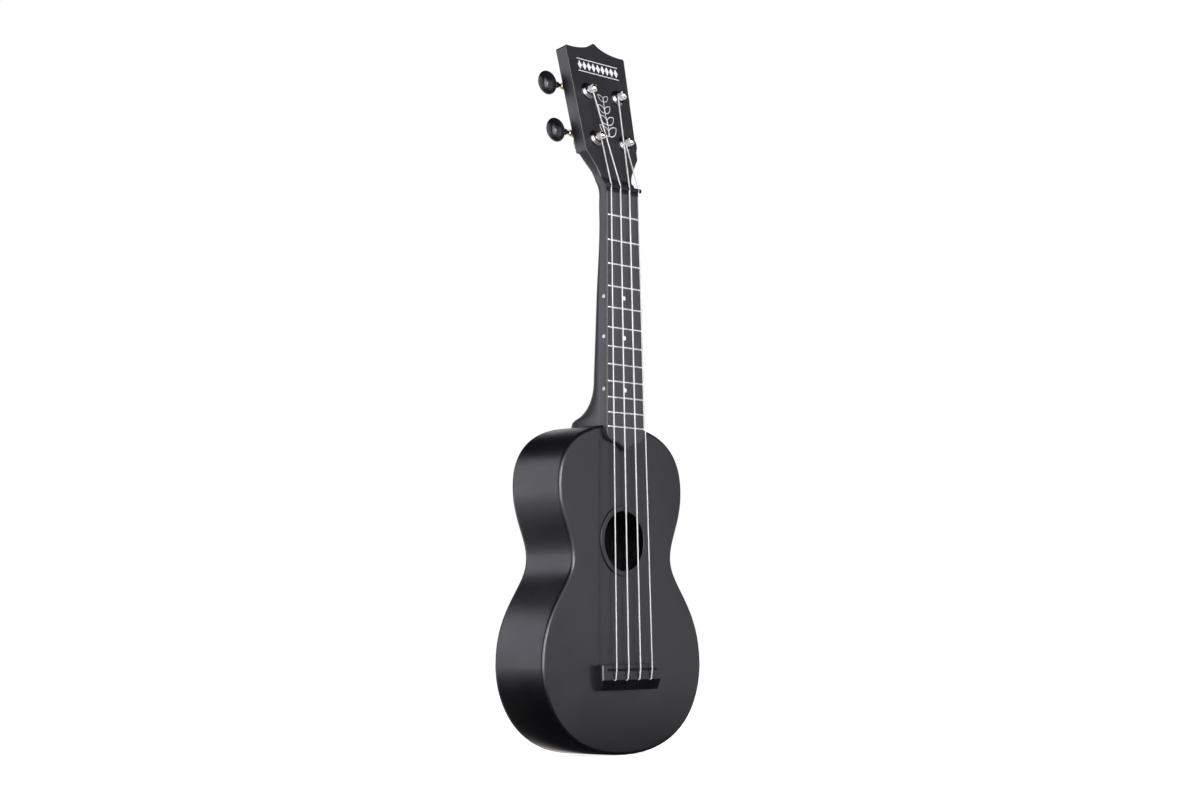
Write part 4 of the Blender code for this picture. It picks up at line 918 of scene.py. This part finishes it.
# Strings, from a knot in the bridge to the turns round a post
strings = {
    "knotRadius": 0.0012, "knotLift": 0.0009, "lift": 0.0073, "windingStart": 0.0032,
    "windingPitch": 0.00102, "turns": 4, "grooveTop": 0.00734, "tail": 0.0022, "waist": 0.0017,
    "clear": 0.0002, "sag": 0.0001, "sides": 14, "stepsPerTurn": 40,
    # Depths and heights under the bridge's edge, where a string climbs out of its slit.
    "climb": ((-0.0041, -0.0017), (-0.0050, -0.0010), (-0.0060, -0.0003)),
}


# The turns round a post, entered along the tangent from where the string leaves the nut.
def windingPoints(place, start, thick):
    mirror = 1 if place.x < 0 else -1
    centre = Vector((place.x * mirror, place.y))
    radius = strings["waist"] + strings["clear"] + thick / 2
    away = centre - Vector((start.x * mirror, start.y))
    begin = math.atan2(away.y, away.x) - math.asin(radius / away.length) - math.pi / 2
    perTurn = strings["stepsPerTurn"]
    points = []
    for i in range(perTurn * strings["turns"] + 1):
        a = begin + 2 * math.pi * i / perTurn
        level = strings["windingStart"] + strings["windingPitch"] * max(0, i / perTurn - 1 / 12)
        points.append(Vector((mirror * (centre.x + radius * math.cos(a)),
                              centre.y + radius * math.sin(a), level)))
    along = Vector((-mirror * math.sin(a), math.cos(a), 0))
    points.append(points[-1] + strings["tail"] * along)
    return [headInBody @ point for point in points]


def stringPath(number, thick):
    low = spread(whole["stringSpreadSaddle"])[number]
    high = spread(whole["stringSpreadNut"])[number]
    radius = strings["knotRadius"]
    knot = Vector((low, -(radius + strings["knotLift"]), bridgeFoot + radius))
    climb = [Vector((low, depth, bridgeEdge + up)) for depth, up in strings["climb"]]
    slope = (climb[0] - knot).normalized()
    path, grown = [], []
    for step in range(-6, 7):
        share = step / 6.2
        path.append(knot + radius * share * slope)
        grown.append(max(0.9, 2 * radius / thick * math.sqrt(1 - share * share)))
    lift, above = strings["lift"] + thick / 2, whole["stringAboveSoundboard"]
    over, sag = boardTop - nut["stringAbove"], strings["sag"]
    path += [path[-1] + 0.6 * thick * slope] + climb
    path += [Vector(point) for point in (
        (low, -lift + 0.15 * thick, bridgeEdge + 0.2 * thick),
        (low, -lift - 0.12 * thick, bridgeEdge + 0.9 * thick),
        (low, sag - above, saddleHeight - bridge["saddleThickness"] / 2),
        (low, -above, saddleHeight), (high, over, nutHeight),
        (high, over - sag, nutHeight + 0.5 * nut["ridge"]),
        (high, over + sag, nutHeight + nut["ridge"]))]
    path += windingPoints(postPlaces[str(number + 1)], headInBody.inverted() @ path[-1], thick)
    return path, grown + [1.0] * (len(path) - len(grown))


def makeStrings():
    tree = Tree("stringRun", {"Thickness": "Float", "Sides": "Int"})
    ring = tree.node("GeometryNodeCurvePrimitiveCircle", {
        "Resolution": tree.given("Sides"), "Radius": tree.given("Thickness") * 0.5})
    tree.end(tree.sweep(ring))
    for number, thick in enumerate(whole["stringDiameters"]):
        mesh = tree.bake("nylon", {"Thickness": thick, "Sides": strings["sides"]},
                         lineMesh(*stringPath(number, thick)))
        addPiece(f"string_skin_{number + 1}", mesh, bodyFrame, "nylon", [f"string_{number + 1}"],
                 sharpAt=50)


makeStrings()
print("strings ready")

# Tuners. Levels run up from the headstock's face, and reaches up along it.
tuner = {
    "postRadius": 0.0025, "postTip": 0.0090, "postWaist": 0.00185, "holeRadius": 0.0006,
    "bushingRadius": 0.0062, "bushingRim": 0.0012, "bushingTop": 0.0046, "bushingHeight": 0.0026,
    "sleeveRadius": 0.0042, "sleeveLength": 0.0060,
    "plateBack": -0.0114, "plateThickness": 0.0010, "plateWidth": 0.0132,
    "plateBelow": 0.0112, "plateAbove": 0.0182, "screwInset": 0.0034, "screwHole": 0.0013,
    "gearFront": -0.0145, "gearThickness": 0.0026, "teeth": 18, "pitchRadius": 0.0055,
    "toothAbove": 0.00065, "toothBelow": 0.00070, "squareEnd": 0.0036,
    "toothRoot": 0.00057, "toothTip": 0.00022, "dish": (0.0031, 0.0044),
    "wormDistance": 0.0082, "wormLevel": -0.0158, "wormCore": 0.0018, "wormRadius": 0.00332,
    "wormRoot": 0.00052, "wormCrest": 0.00023, "wormTurns": 3, "wormSteps": 48,
    "shaft": 0.0015, "collarRadius": 0.0025, "collarLength": 0.0036,
    "earGap": 0.0112, "earThickness": 0.0010, "earWidth": 0.0064, "earBase": 0.0118,
    "buttonFromPost": 0.0243, "buttonLength": 0.0144, "buttonTall": 0.0182, "buttonThick": 0.0108,
    "buttonNeck": 0.0036, "buttonNeckRadius": 0.0024, "shaftInButton": 0.0100,
    "boreClear": 0.00012, "seatGap": 0.00003, "squareClear": 0.00006, "postWayClear": 0.00015,
    "plateBevel": 0.00016,
    # Half width and height of the head, radius and length of the shank, depth of the cross.
    "plateScrew": (0.0022, 0.0012, 0.0010, 0.0065, 0.0006),
    "gearScrew": (0.0026, 0.0014, 0.0009, 0.0040, 0.0007),
}
wormPitch = 2 * math.pi * tuner["pitchRadius"] / tuner["teeth"]
gearBack = tuner["gearFront"] - tuner["gearThickness"]
buttonStart = tuner["buttonFromPost"] - tuner["buttonLength"] / 2 - tuner["buttonNeck"]


# A profile with some corners rounded; radii goes from the index of a corner to its radius.
def filleted(profile, radii):
    points = []
    for i, corner in enumerate(map(Vector, profile)):
        if i not in radii:
            points.append(corner)
            continue
        start, end = (corner + radii[i] * (Vector(profile[j % len(profile)]) - corner).normalized()
                      for j in (i - 1, i + 1))
        points += chain(start, (corner.lerp(start, 0.45), corner.lerp(end, 0.45), end, 4))
    return points


def bushingMesh():
    bore, gap = tuner["postRadius"] + tuner["boreClear"], tuner["seatGap"]
    sleeve, end = tuner["sleeveRadius"], tuner["sleeveLength"]
    top, rim, wide = tuner["bushingHeight"], tuner["bushingRim"], tuner["bushingRadius"]
    profile = [(bore, top), (tuner["bushingTop"], top),
               (0.58 * tuner["bushingTop"] + 0.42 * wide, 1.35 * rim), (wide, rim),
               (wide, gap), (sleeve, gap), (sleeve, -end), (bore, -end)]
    return turned(filleted(profile, {0: 0.0002, 1: 0.0005, 2: 0.0007, 3: 0.0004}), 64, True)


def postMesh():
    radius, waist, tip = tuner["postRadius"], tuner["postWaist"], tuner["postTip"]
    low, high = strings["windingStart"] - 0.0006, strings["grooveTop"]
    shoulder = tuner["gearFront"] + 0.0002
    profile = chain((0, tip), ((0.45 * radius, tip), (0.93 * radius, tip - 0.0003),
                               (radius, tip - 0.0017), 9))
    profile += filleted([(radius, tip - 0.0018), (waist, high - 0.0005), (waist, low + 0.0003),
                         (radius, low), (radius, -0.0100)], {1: 0.0003, 2: 0.0003, 3: 0.0002})[1:]
    profile += filleted([(radius, shoulder + 0.001), (radius, shoulder), (0, shoulder)],
                        {1: 0.0002})[1:]
    half = tuner["squareEnd"] / 2
    square = box((-half, -half, gearBack), (half, half, shoulder + 0.002))
    mesh = united(turned(profile, 56), square)
    hole = shift(z=high - 0.0003) @ turn(90, "Y")
    return cut(mesh, drill(tuner["holeRadius"], -through, through, hole, 28))


def toothPoints(level, shrink):
    root = tuner["pitchRadius"] - tuner["toothBelow"]
    height = tuner["toothBelow"] + tuner["toothAbove"]
    wide, slim = tuner["toothRoot"], tuner["toothTip"]
    lean = wormPitch * level / (2 * math.pi * (tuner["wormDistance"] - tuner["pitchRadius"])
                                * tuner["pitchRadius"])
    flank = [(0, wide), (0.06, 0.90 * wide), (0.3, 0.80 * wide), (0.62, 0.60 * wide),
             (0.88, 1.18 * slim), (0.97, 0.95 * slim), (1.0, 0.66 * slim)]
    side = [(root + height * share, half / (root + height * share)) for share, half in flank]
    points = []
    for tooth in range(tuner["teeth"]):
        middle = math.pi / 2 + 2 * math.pi * tooth / tuner["teeth"] + lean
        for radius, a in ([(r, middle - t) for r, t in side]
                          + [(r, middle + t) for r, t in reversed(side)]):
            x, y = Vector((radius * math.cos(a), radius * math.sin(a))) * shrink
            points.append(Vector((x, y, level)))
    return points


def gearMesh():
    half, side = tuner["gearThickness"] / 2, tuner["squareEnd"] / 2 + tuner["squareClear"]
    near, far = tuner["dish"]
    mesh = loft([toothPoints(level, shrink) for level, shrink in (
        (-half, 0.970), (-half + 0.00012, 0.992), (-half + 0.0003, 1.0), (0, 1.0),
        (half - 0.0003, 1.0), (half - 0.00012, 0.992), (half, 0.970))])
    mesh = cut(mesh, turned([(near, -0.003), (far, -0.003), (far - 0.0001, -half + 0.0004),
                             (near + 0.0001, -half + 0.0004)], 48, True))
    return cut(mesh, box((-side, -side, -through), (side, side, through)))


# A screw with a crossed head that points down.
def crossedHead(wide, high, radius, length, sunk):
    profile = [(0, -high), (0.45 * wide, -0.94 * high), (0.8 * wide, -0.66 * high),
               (0.96 * wide, -0.25 * high), (wide, 0), (radius, 0), (radius, length - 0.8 * radius),
               (0, length)]
    mesh = turned(filleted(profile, {2: 0.15 * wide, 3: 0.1 * wide}), 40)
    arm, across = 0.62 * wide, 0.16 * wide
    for x, y in ((arm, across), (across, arm)):
        mesh = cut(mesh, box((-x, -y, -2 * high), (x, y, -high + sunk)))
    return mesh


# The helix of the worm's thread, whose ends sink into the core.
def threadLine():
    steps = tuner["wormSteps"] * tuner["wormTurns"]
    path, grown = [], []
    for i in range(steps + 1):
        a = 2 * math.pi * (i / steps - 0.5) * tuner["wormTurns"]
        share = min(1, 0.12 + 4.0 * min(i, steps - i) / steps * tuner["wormTurns"] / 3)
        r = (tuner["wormCore"] + tuner["wormRadius"]) / 2 - (1 - share) * 0.00075
        path.append(Vector((wormPitch * a / (2 * math.pi), r * math.cos(a), r * math.sin(a))))
        grown.append(share)
    return lineMesh(path, grown)


def makeWormTree():
    tree = Tree("wormSweep", {"Height": "Float", "Root": "Float", "Crest": "Float"})
    section = tree.node("GeometryNodeCurvePrimitiveQuadrilateral", {
        "Height": tree.given("Height"), "Bottom Width": tree.given("Root"),
        "Top Width": tree.given("Crest"), "Offset": 0.0}, mode="TRAPEZOID")
    tree.end(tree.sweep(section))
    return tree


wormTree = makeWormTree()


def wormMesh(side):
    ear = tuner["earGap"] / 2 + tuner["earThickness"]
    inner, collar, core = -ear - 0.0008, ear + tuner["boreClear"], tuner["earGap"] / 2 - 0.0003
    outer, long = buttonStart + tuner["shaftInButton"], tuner["collarLength"]
    thin, wide, thread = tuner["shaft"], tuner["collarRadius"], tuner["wormCore"]
    profile = [(0, outer), (thin, outer), (thin, collar + long), (0.86 * wide, collar + long),
               (wide, collar + 0.82 * long), (wide, collar + 0.42 * long),
               (0.80 * wide, collar + 0.34 * long), (0.80 * wide, collar + 0.24 * long),
               (wide, collar + 0.16 * long), (wide, collar), (thin, collar), (thin, core),
               (thread, core), (thread, -core), (thin, -core), (thin, inner), (0, inner)]
    soft = {1: 0.0003, 3: 0.0001, 4: 0.0003, 5: 0.0002, 8: 0.0002, 9: 0.0002, 12: 0.0002,
            13: 0.0002, 15: 0.0003}
    helix = wormTree.bake("brass", {
        "Height": tuner["wormRadius"] - tuner["wormCore"] + 0.0004,
        "Root": 2 * tuner["wormRoot"], "Crest": 2 * tuner["wormCrest"]}, threadLine())
    return joined([turned(filleted(profile, soft), 40, matrix=turn(side * 90, "Y")), helix])


def buttonMesh(side):
    middle, half, slim = (tuner["buttonFromPost"], tuner["buttonLength"] / 2,
                          tuner["buttonNeckRadius"])
    stations = [(buttonStart + rise, share * slim, share * slim) for rise, share in (
        (0, 0.80), (0.0001, 0.93), (0.0004, 1.0), (0.0024, 1.0))]
    for i in range(1, 27):
        a = math.radians(-66 + 156 * (i / 27) ** 0.94)
        along = middle + half * math.sin(a)
        near = max(0, 1 - (along - buttonStart - 0.0024) / 0.0022) ** 2
        stations.append((along, *(
            size / 2 * math.cos(a) ** power * (1 - near) + slim * swell * near
            for size, power, swell in ((tuner["buttonTall"], 0.8, 1.15),
                                       (tuner["buttonThick"], 0.7, 1.08)))))
    turns = [2 * math.pi * i / 56 for i in range(56)]
    rings = [[Vector((side * along, tall * math.cos(b), thick * math.sin(b))) for b in turns]
             for along, tall, thick in stations]
    mesh = loft(rings + [[Vector((side * (middle + half), 0, 0))]])
    return cut(mesh, drill(tuner["shaft"] + 0.00005, buttonStart - 0.001, buttonStart
                           + tuner["shaftInButton"] + 0.0002, turn(side * 90, "Y"), 40))


def screwLevels():
    return (tuner["screwInset"] - tuner["plateBelow"], tuner["plateAbove"] - tuner["screwInset"])


def plateMesh():
    half, corner = tuner["plateWidth"] / 2, 0.34 * tuner["plateWidth"]
    low, high = -tuner["plateBelow"], tuner["plateAbove"]
    outline = []
    for x, y, first in ((half, high, 0), (-half, high, 90), (-half, low, 180), (half, low, 270)):
        centre = Vector((x - math.copysign(corner, x), y - math.copysign(corner, y)))
        outline += [centre + corner * Vector((math.cos(a), math.sin(a)))
                    for a in angles(first, first + 90, 8)]
    back = tuner["plateBack"]
    middle, level = back + 0.5 * tuner["plateThickness"], tuner["wormLevel"]
    mesh = prism(outline, back, back + tuner["plateThickness"])
    reach, wide, foot = tuner["wormDistance"], tuner["earWidth"] / 2, tuner["earBase"] / 2
    skirt = [(foot, middle), (foot - 0.0007, back - 0.0002), (foot - 0.0012, back - 0.0007)]
    outline = [(reach - out, up) for out, up in skirt]
    outline += around((reach, level), wide, angles(180, 360, 24))
    outline += [(reach + out, up) for out, up in reversed(skirt)]
    for inside in (-tuner["earGap"] / 2 - tuner["earThickness"], tuner["earGap"] / 2):
        mesh = united(mesh, prism(outline, inside, inside + tuner["earThickness"], sideways))
    axle = shift(0, reach, level) @ turn(90, "Y")
    ways = [drill(tuner["shaft"] + tuner["boreClear"], -2 * through, 2 * through, axle, 40),
            drill(tuner["postRadius"] + tuner["postWayClear"], -0.014, 0.0)]
    ways += [drill(tuner["screwHole"], -0.014, 0.0, shift(y=up), 32) for up in screwLevels()]
    return bevelled(cut(mesh, *ways), tuner["plateBevel"], 2, 35)


# One screw is made, and Geometry Nodes set it at the marked points, each turned by chance.
def makePlateScrews(places):
    tree = Tree("screwSet", {"Unit Screw": "Object", "Tilt": "Float", "Seed": "Int"})
    chance = tree.node("FunctionNodeRandomValue", {
        "Min": 0.0, "Max": math.pi / 2, "Seed": tree.given("Seed")}, "Value", data_type="FLOAT")
    whirl, tilt = (tree.node("FunctionNodeEulerToRotation", {
        "Euler": tree.node("ShaderNodeCombineXYZ", {axis: a})})
        for axis, a in (("Z", chance), ("X", tree.given("Tilt"))))
    both = tree.node("FunctionNodeRotateRotation", {"Rotation": tilt, "Rotate By": whirl},
                     rotation_space="LOCAL")
    tree.end(tree.copies(tree.given("Geometry"), "Unit Screw", {"Rotation": both}))
    marks = bpy.data.meshes.new("marks")
    marks.from_pydata([place @ Vector((0, up, tuner["plateBack"]))
                       for place in places for up in screwLevels()], [], [])
    mesh = tree.bake("screw", {
        "Unit Screw": crossedHead(*tuner["plateScrew"]),
        "Tilt": math.pi / 2 - whole["headTilt"], "Seed": 4}, marks)
    names = [f"plate_screw_{n}_{end}" for n in "1234" for end in ("lower", "upper")]
    addPiece("plate_screw_set", mesh, Matrix(), "screw", names)


def makeTuners():
    places = []
    for number, post in postPlaces.items():
        place = headFrame @ shift(post.x, post.y)
        axle = place @ shift(0, tuner["wormDistance"], tuner["wormLevel"])
        side, peg, shaft = math.copysign(1, post.x), f"peg_{number}", f"button_shaft_{number}"
        for part, node, mesh, at, finish, rides, sharpAt in (
                ("bushing", "bushing", bushingMesh(), place, "chrome", "body", 50),
                ("post", "post", postMesh(), place, "nickel", peg, 40),
                ("gear", "gear", gearMesh(), place @ shift(z=tuner["wormLevel"]), "brass", peg, 35),
                ("gear_screw", "gear_screw", crossedHead(*tuner["gearScrew"]),
                 place @ shift(z=gearBack), "screw", peg, 32),
                ("worm", "worm_shaft", wormMesh(side), axle, "brass", shaft, 40),
                ("button", "button", buttonMesh(side), axle, "button", shaft, 40),
                ("plate", "plate", plateMesh(), place, "nickel", "body", 35)):
            addPiece(f"{part}_skin_{number}", mesh, at, finish, [f"{node}_{number}"], rides,
                     sharpAt)
        places.append(place)
    makePlateScrews(places)


makeTuners()
print("tuners ready")

# Headstock ornament: a sprig, and a band of lozenges above it
ornament = {
    "level": 0.00005, "sink": 0.00004, "line": 0.00060,
    "leaf": (0.0112, 0.0037), "leafCount": 4, "leafTurn": 52,
    "stem": ((0.0004, 0.0435, 0), (0.0018, 0.0530, 0), (-0.0016, 0.0600, 0), (0.0003, 0.0705, 0)),
    "bandReach": 0.0958, "bandCount": 9, "bandStep": 0.0050, "bandHalf": 0.0048,
    "diamond": (0.0046, 0.0070),
}


# A closed flat outline as a thin printed line, or filled when no width is given.
def printed(outline, width=0.0):
    low, high = -ornament["sink"], ornament["level"]
    loops = [(outline, low), (outline, high)]
    if width:
        inner = inset(outline, width)
        loops += [(inner, high), (inner, low)]
    return loft([[Vector((x, y, level)) for x, y in loop] for loop, level in loops],
                wrap=bool(width))


# Leaves stand on both sides of the stem, and are smaller towards its tip.
def sprig(stem):
    tree = Tree("sprigRule", {"Leaf": "Object", "Leaves": "Int", "Turn": "Float"})
    marks = tree.node("GeometryNodeResampleCurve", {
        "Curve": tree.curve(), "Count": tree.given("Leaves")})
    points = tree.node("GeometryNodeCurveToPoints", {"Curve": marks}, mode="EVALUATED")
    size = 1.0 - tree.node("GeometryNodeInputIndex") / (tree.given("Leaves") * 1.9)
    both = tree.node("GeometryNodeJoinGeometry")
    for sign in (-1.0, 1.0):
        way = tree.node("ShaderNodeCombineXYZ", {"Z": tree.given("Turn") * sign})
        tree.feed(both.socket.node.inputs[0],
                  tree.copies(points, "Leaf", {"Rotation": way, "Scale": size}))
    tree.end(both)
    long, half = ornament["leaf"]
    right = chain((0, 0), ((0.7 * half, 0.10 * long), (1.25 * half, 0.55 * long), (0, long), 14))
    return tree.bake("ink", {
        "Leaf": printed(right + mirrored(right[1:-1]), -ornament["line"]),
        "Leaves": ornament["leafCount"], "Turn": math.radians(ornament["leafTurn"])},
        lineMesh(stem))


def makeOrnament():
    start, *bends = ornament["stem"]
    stem = chain(start, (*bends, 20))
    half, reach, count = ornament["line"] / 2, ornament["bandReach"], ornament["bandCount"]
    parts = [sprig(stem), printed([Vector((p.x - half, p.y)) for p in stem]
                                  + [Vector((p.x + half, p.y)) for p in reversed(stem)])]
    wide, tall = (size / 2 for size in ornament["diamond"])
    for i in range(count):
        x = (i - (count - 1) / 2) * ornament["bandStep"]
        parts.append(printed([Vector((x - wide, reach)), Vector((x, reach - tall)),
                              Vector((x + wide, reach)), Vector((x, reach + tall))]))
    end = count * ornament["bandStep"] / 2
    for y in (reach - ornament["bandHalf"], reach + ornament["bandHalf"]):
        parts.append(printed([Vector((-end, y - half)), Vector((end, y - half)),
                              Vector((end, y + half)), Vector((-end, y + half))]))
    addPiece("headstock_ornament", joined(parts), headFrame, "ink", [])


makeOrnament()

# The bolt inside the body keeps its own shape.
bolt = frame["nodes"]["neck_bolt"]
bolt.data.materials.clear()
bolt.data.materials.append(finishes["screw"][1])
print("ornament ready")

# Camera, floor and light. Directions are an azimuth and an elevation in degrees, and the edges
# of the wall and the window are angles from their middle, from outside inwards.
view = {"place": (-1.264127, -1.085046, 0.085212), "yaw": -48.823, "pitch": 5.780, "roll": -0.721,
        "lens": 69.593, "sensor": 36.0}
studio = {
    "world": 0.22, "floorReach": 14.0, "floorDrop": 0.0004, "floor": (0.84, 0.84, 0.84),
    "floorGlow": 0.84, "dark": (0.025, 0.025, 0.03), "wall": (49, 4), "wallEdge": (32, 15),
    "window": (222, 3), "windowEdge": (38, 12), "windowGlow": (11, 11, 11.4),
    "windowFloorEdge": (0.7, 1.6),
    "behind": (0.755, 0.656, 0), "behindEdge": (0.0, 0.014), "backEdge": (0.0, 0.03),
    "nearEdge": (0.22, 0.12), "behindGlow": (2.0, 1.88, 1.80),
    "farFloor": (1.35, 1.33, 1.40), "farEdge": (0.15, 0.75), "lightMiddle": 0.25,
}
cool = (1, 0.97, 1.1)
# Azimuth, elevation, distance, size and radiance.
lights = {
    "key": (192, 13, 2.3, (0.36, 0.36), 78),
    "frontSheen": (154, 10, 2.1, (1.78, 1.66), 1.65, cool),
    "leftSheen": (-42, 14, 1.9, (1.9, 1.6), 2.35, cool),
}


def makeCamera():
    camera = bpy.data.cameras.new("camera")
    camera.lens, camera.sensor_width = view["lens"], view["sensor"]
    camera.clip_start, camera.clip_end = 0.01, 100
    holder = guideObject(camera, "camera")
    holder.matrix_world = (Matrix.Translation(bodyZero + Vector(view["place"]))
                           @ turn(view["yaw"], "Z") @ turn(90 + view["pitch"], "X")
                           @ turn(view["roll"], "Z"))
    scene.camera = holder


def compass(azimuth, elevation, reach=1.0):
    a, e = math.radians(azimuth), math.radians(elevation)
    return reach * Vector((math.sin(a) * math.cos(e), math.cos(a) * math.cos(e), math.sin(e)))


# How far a direction lies within the wall behind the object, or the window behind the camera.
def within(finish, direction, name):
    share = finish.vector("DOT_PRODUCT", direction, compass(*studio[name]))
    return finish.smooth(share, [math.cos(math.radians(a)) for a in studio[name + "Edge"]])


# Gloss sees a dark room with a white wall and a bright window, and the camera sees white.
def makeWorld():
    scene.world = bpy.data.worlds.new("studio")
    finish = Finish(scene.world)
    camera, glossy, through = (finish.node("ShaderNodeLightPath", output=f"Is {kind} Ray")
                               for kind in ("Camera", "Glossy", "Transmission"))
    direction = finish.node("ShaderNodeTexCoord", output="Generated")
    room = finish.mix(within(finish, direction, "wall"), studio["dark"], (1, 1, 1))
    room = finish.mix(within(finish, direction, "window"), room, studio["windowGlow"])
    lit = finish.mix((camera + through).over(0.5), (studio["world"],) * 3, (1, 1, 1))
    finish.feed(finish.nodes["Background"].inputs["Color"], finish.mix(glossy, lit, room))


# The floor is pale paper. Gloss sees it dark beside the object, and pale behind and far away.
def makeFloor():
    work = bmesh.new()
    bmesh.ops.create_grid(work, x_segments=1, y_segments=1, size=studio["floorReach"],
                          matrix=Matrix.Translation(bodyZero) @ shift(z=-studio["floorDrop"]))
    floor = guideObject(toMesh(work), "floor")
    finish = newFinish("floorPaper")
    camera, glossy = (finish.node("ShaderNodeLightPath", output=f"Is {kind} Ray")
                      for kind in ("Camera", "Glossy"))
    grain = finish.range(finish.noise(30, 3), 0, 1)
    finish.surface({
        "Base Color": finish.mix(grain, scaled(studio["floor"], 0.99), studio["floor"]),
        "Roughness": 0.9, "Emission Strength": 1.0,
        "Emission Color": finish.mix(camera, (0, 0, 0), (studio["floorGlow"],) * 3)})
    place = finish.node("ShaderNodeTexCoord", output="Object")
    away = finish.vector("SUBTRACT", place, bodyZero)
    behind = finish.vector("DOT_PRODUCT", away, studio["behind"])
    back = finish.node("ShaderNodeSeparateXYZ", {0: away}, "Y")
    apart = finish.vector("LENGTH", away)
    seen = finish.mix(finish.smooth(apart, studio["farEdge"]), studio["dark"], studio["farFloor"])
    bright = (within(finish, finish.vector("NORMALIZE", away), "window")
              * finish.smooth(apart, studio["windowFloorEdge"]))
    seen = finish.mix(bright, seen, studio["windowGlow"])
    pale = (finish.smooth(behind, studio["behindEdge"]) * finish.smooth(back, studio["backEdge"])
            * finish.smooth(apart, studio["nearEdge"]))
    glow = finish.node("ShaderNodeEmission", {
        "Color": finish.mix(pale, seen, studio["behindGlow"])})
    paper = Wire(finish, finish.nodes["Principled BSDF"].outputs[0])
    mixed = finish.node("ShaderNodeMixShader", {0: glossy, 1: paper, 2: glow})
    finish.feed(finish.nodes["Material Output"].inputs["Surface"], mixed)
    floor.data.materials.append(finish.owner)


# A softbox of a given radiance, set by its direction and distance from the object's middle.
def makeLight(name, azimuth, elevation, reach, size, radiance, tint=(1, 1, 1)):
    lamp = bpy.data.lights.new(name, "AREA")
    lamp.shape = "RECTANGLE"
    lamp.size, lamp.size_y = size
    lamp.energy = radiance * math.pi * size[0] * size[1]
    lamp.color = tint
    holder = guideObject(lamp, name)
    away = compass(azimuth, elevation, reach)
    holder.location = bodyZero + Vector((0, 0, studio["lightMiddle"])) + away
    holder.rotation_euler = (-away).to_track_quat("-Z", "Y").to_euler()
    holder.visible_camera = False


makeCamera()
makeWorld()
makeFloor()
for lightName, settings in lights.items():
    makeLight(lightName, *settings)
scene.view_settings.view_transform = "Standard"
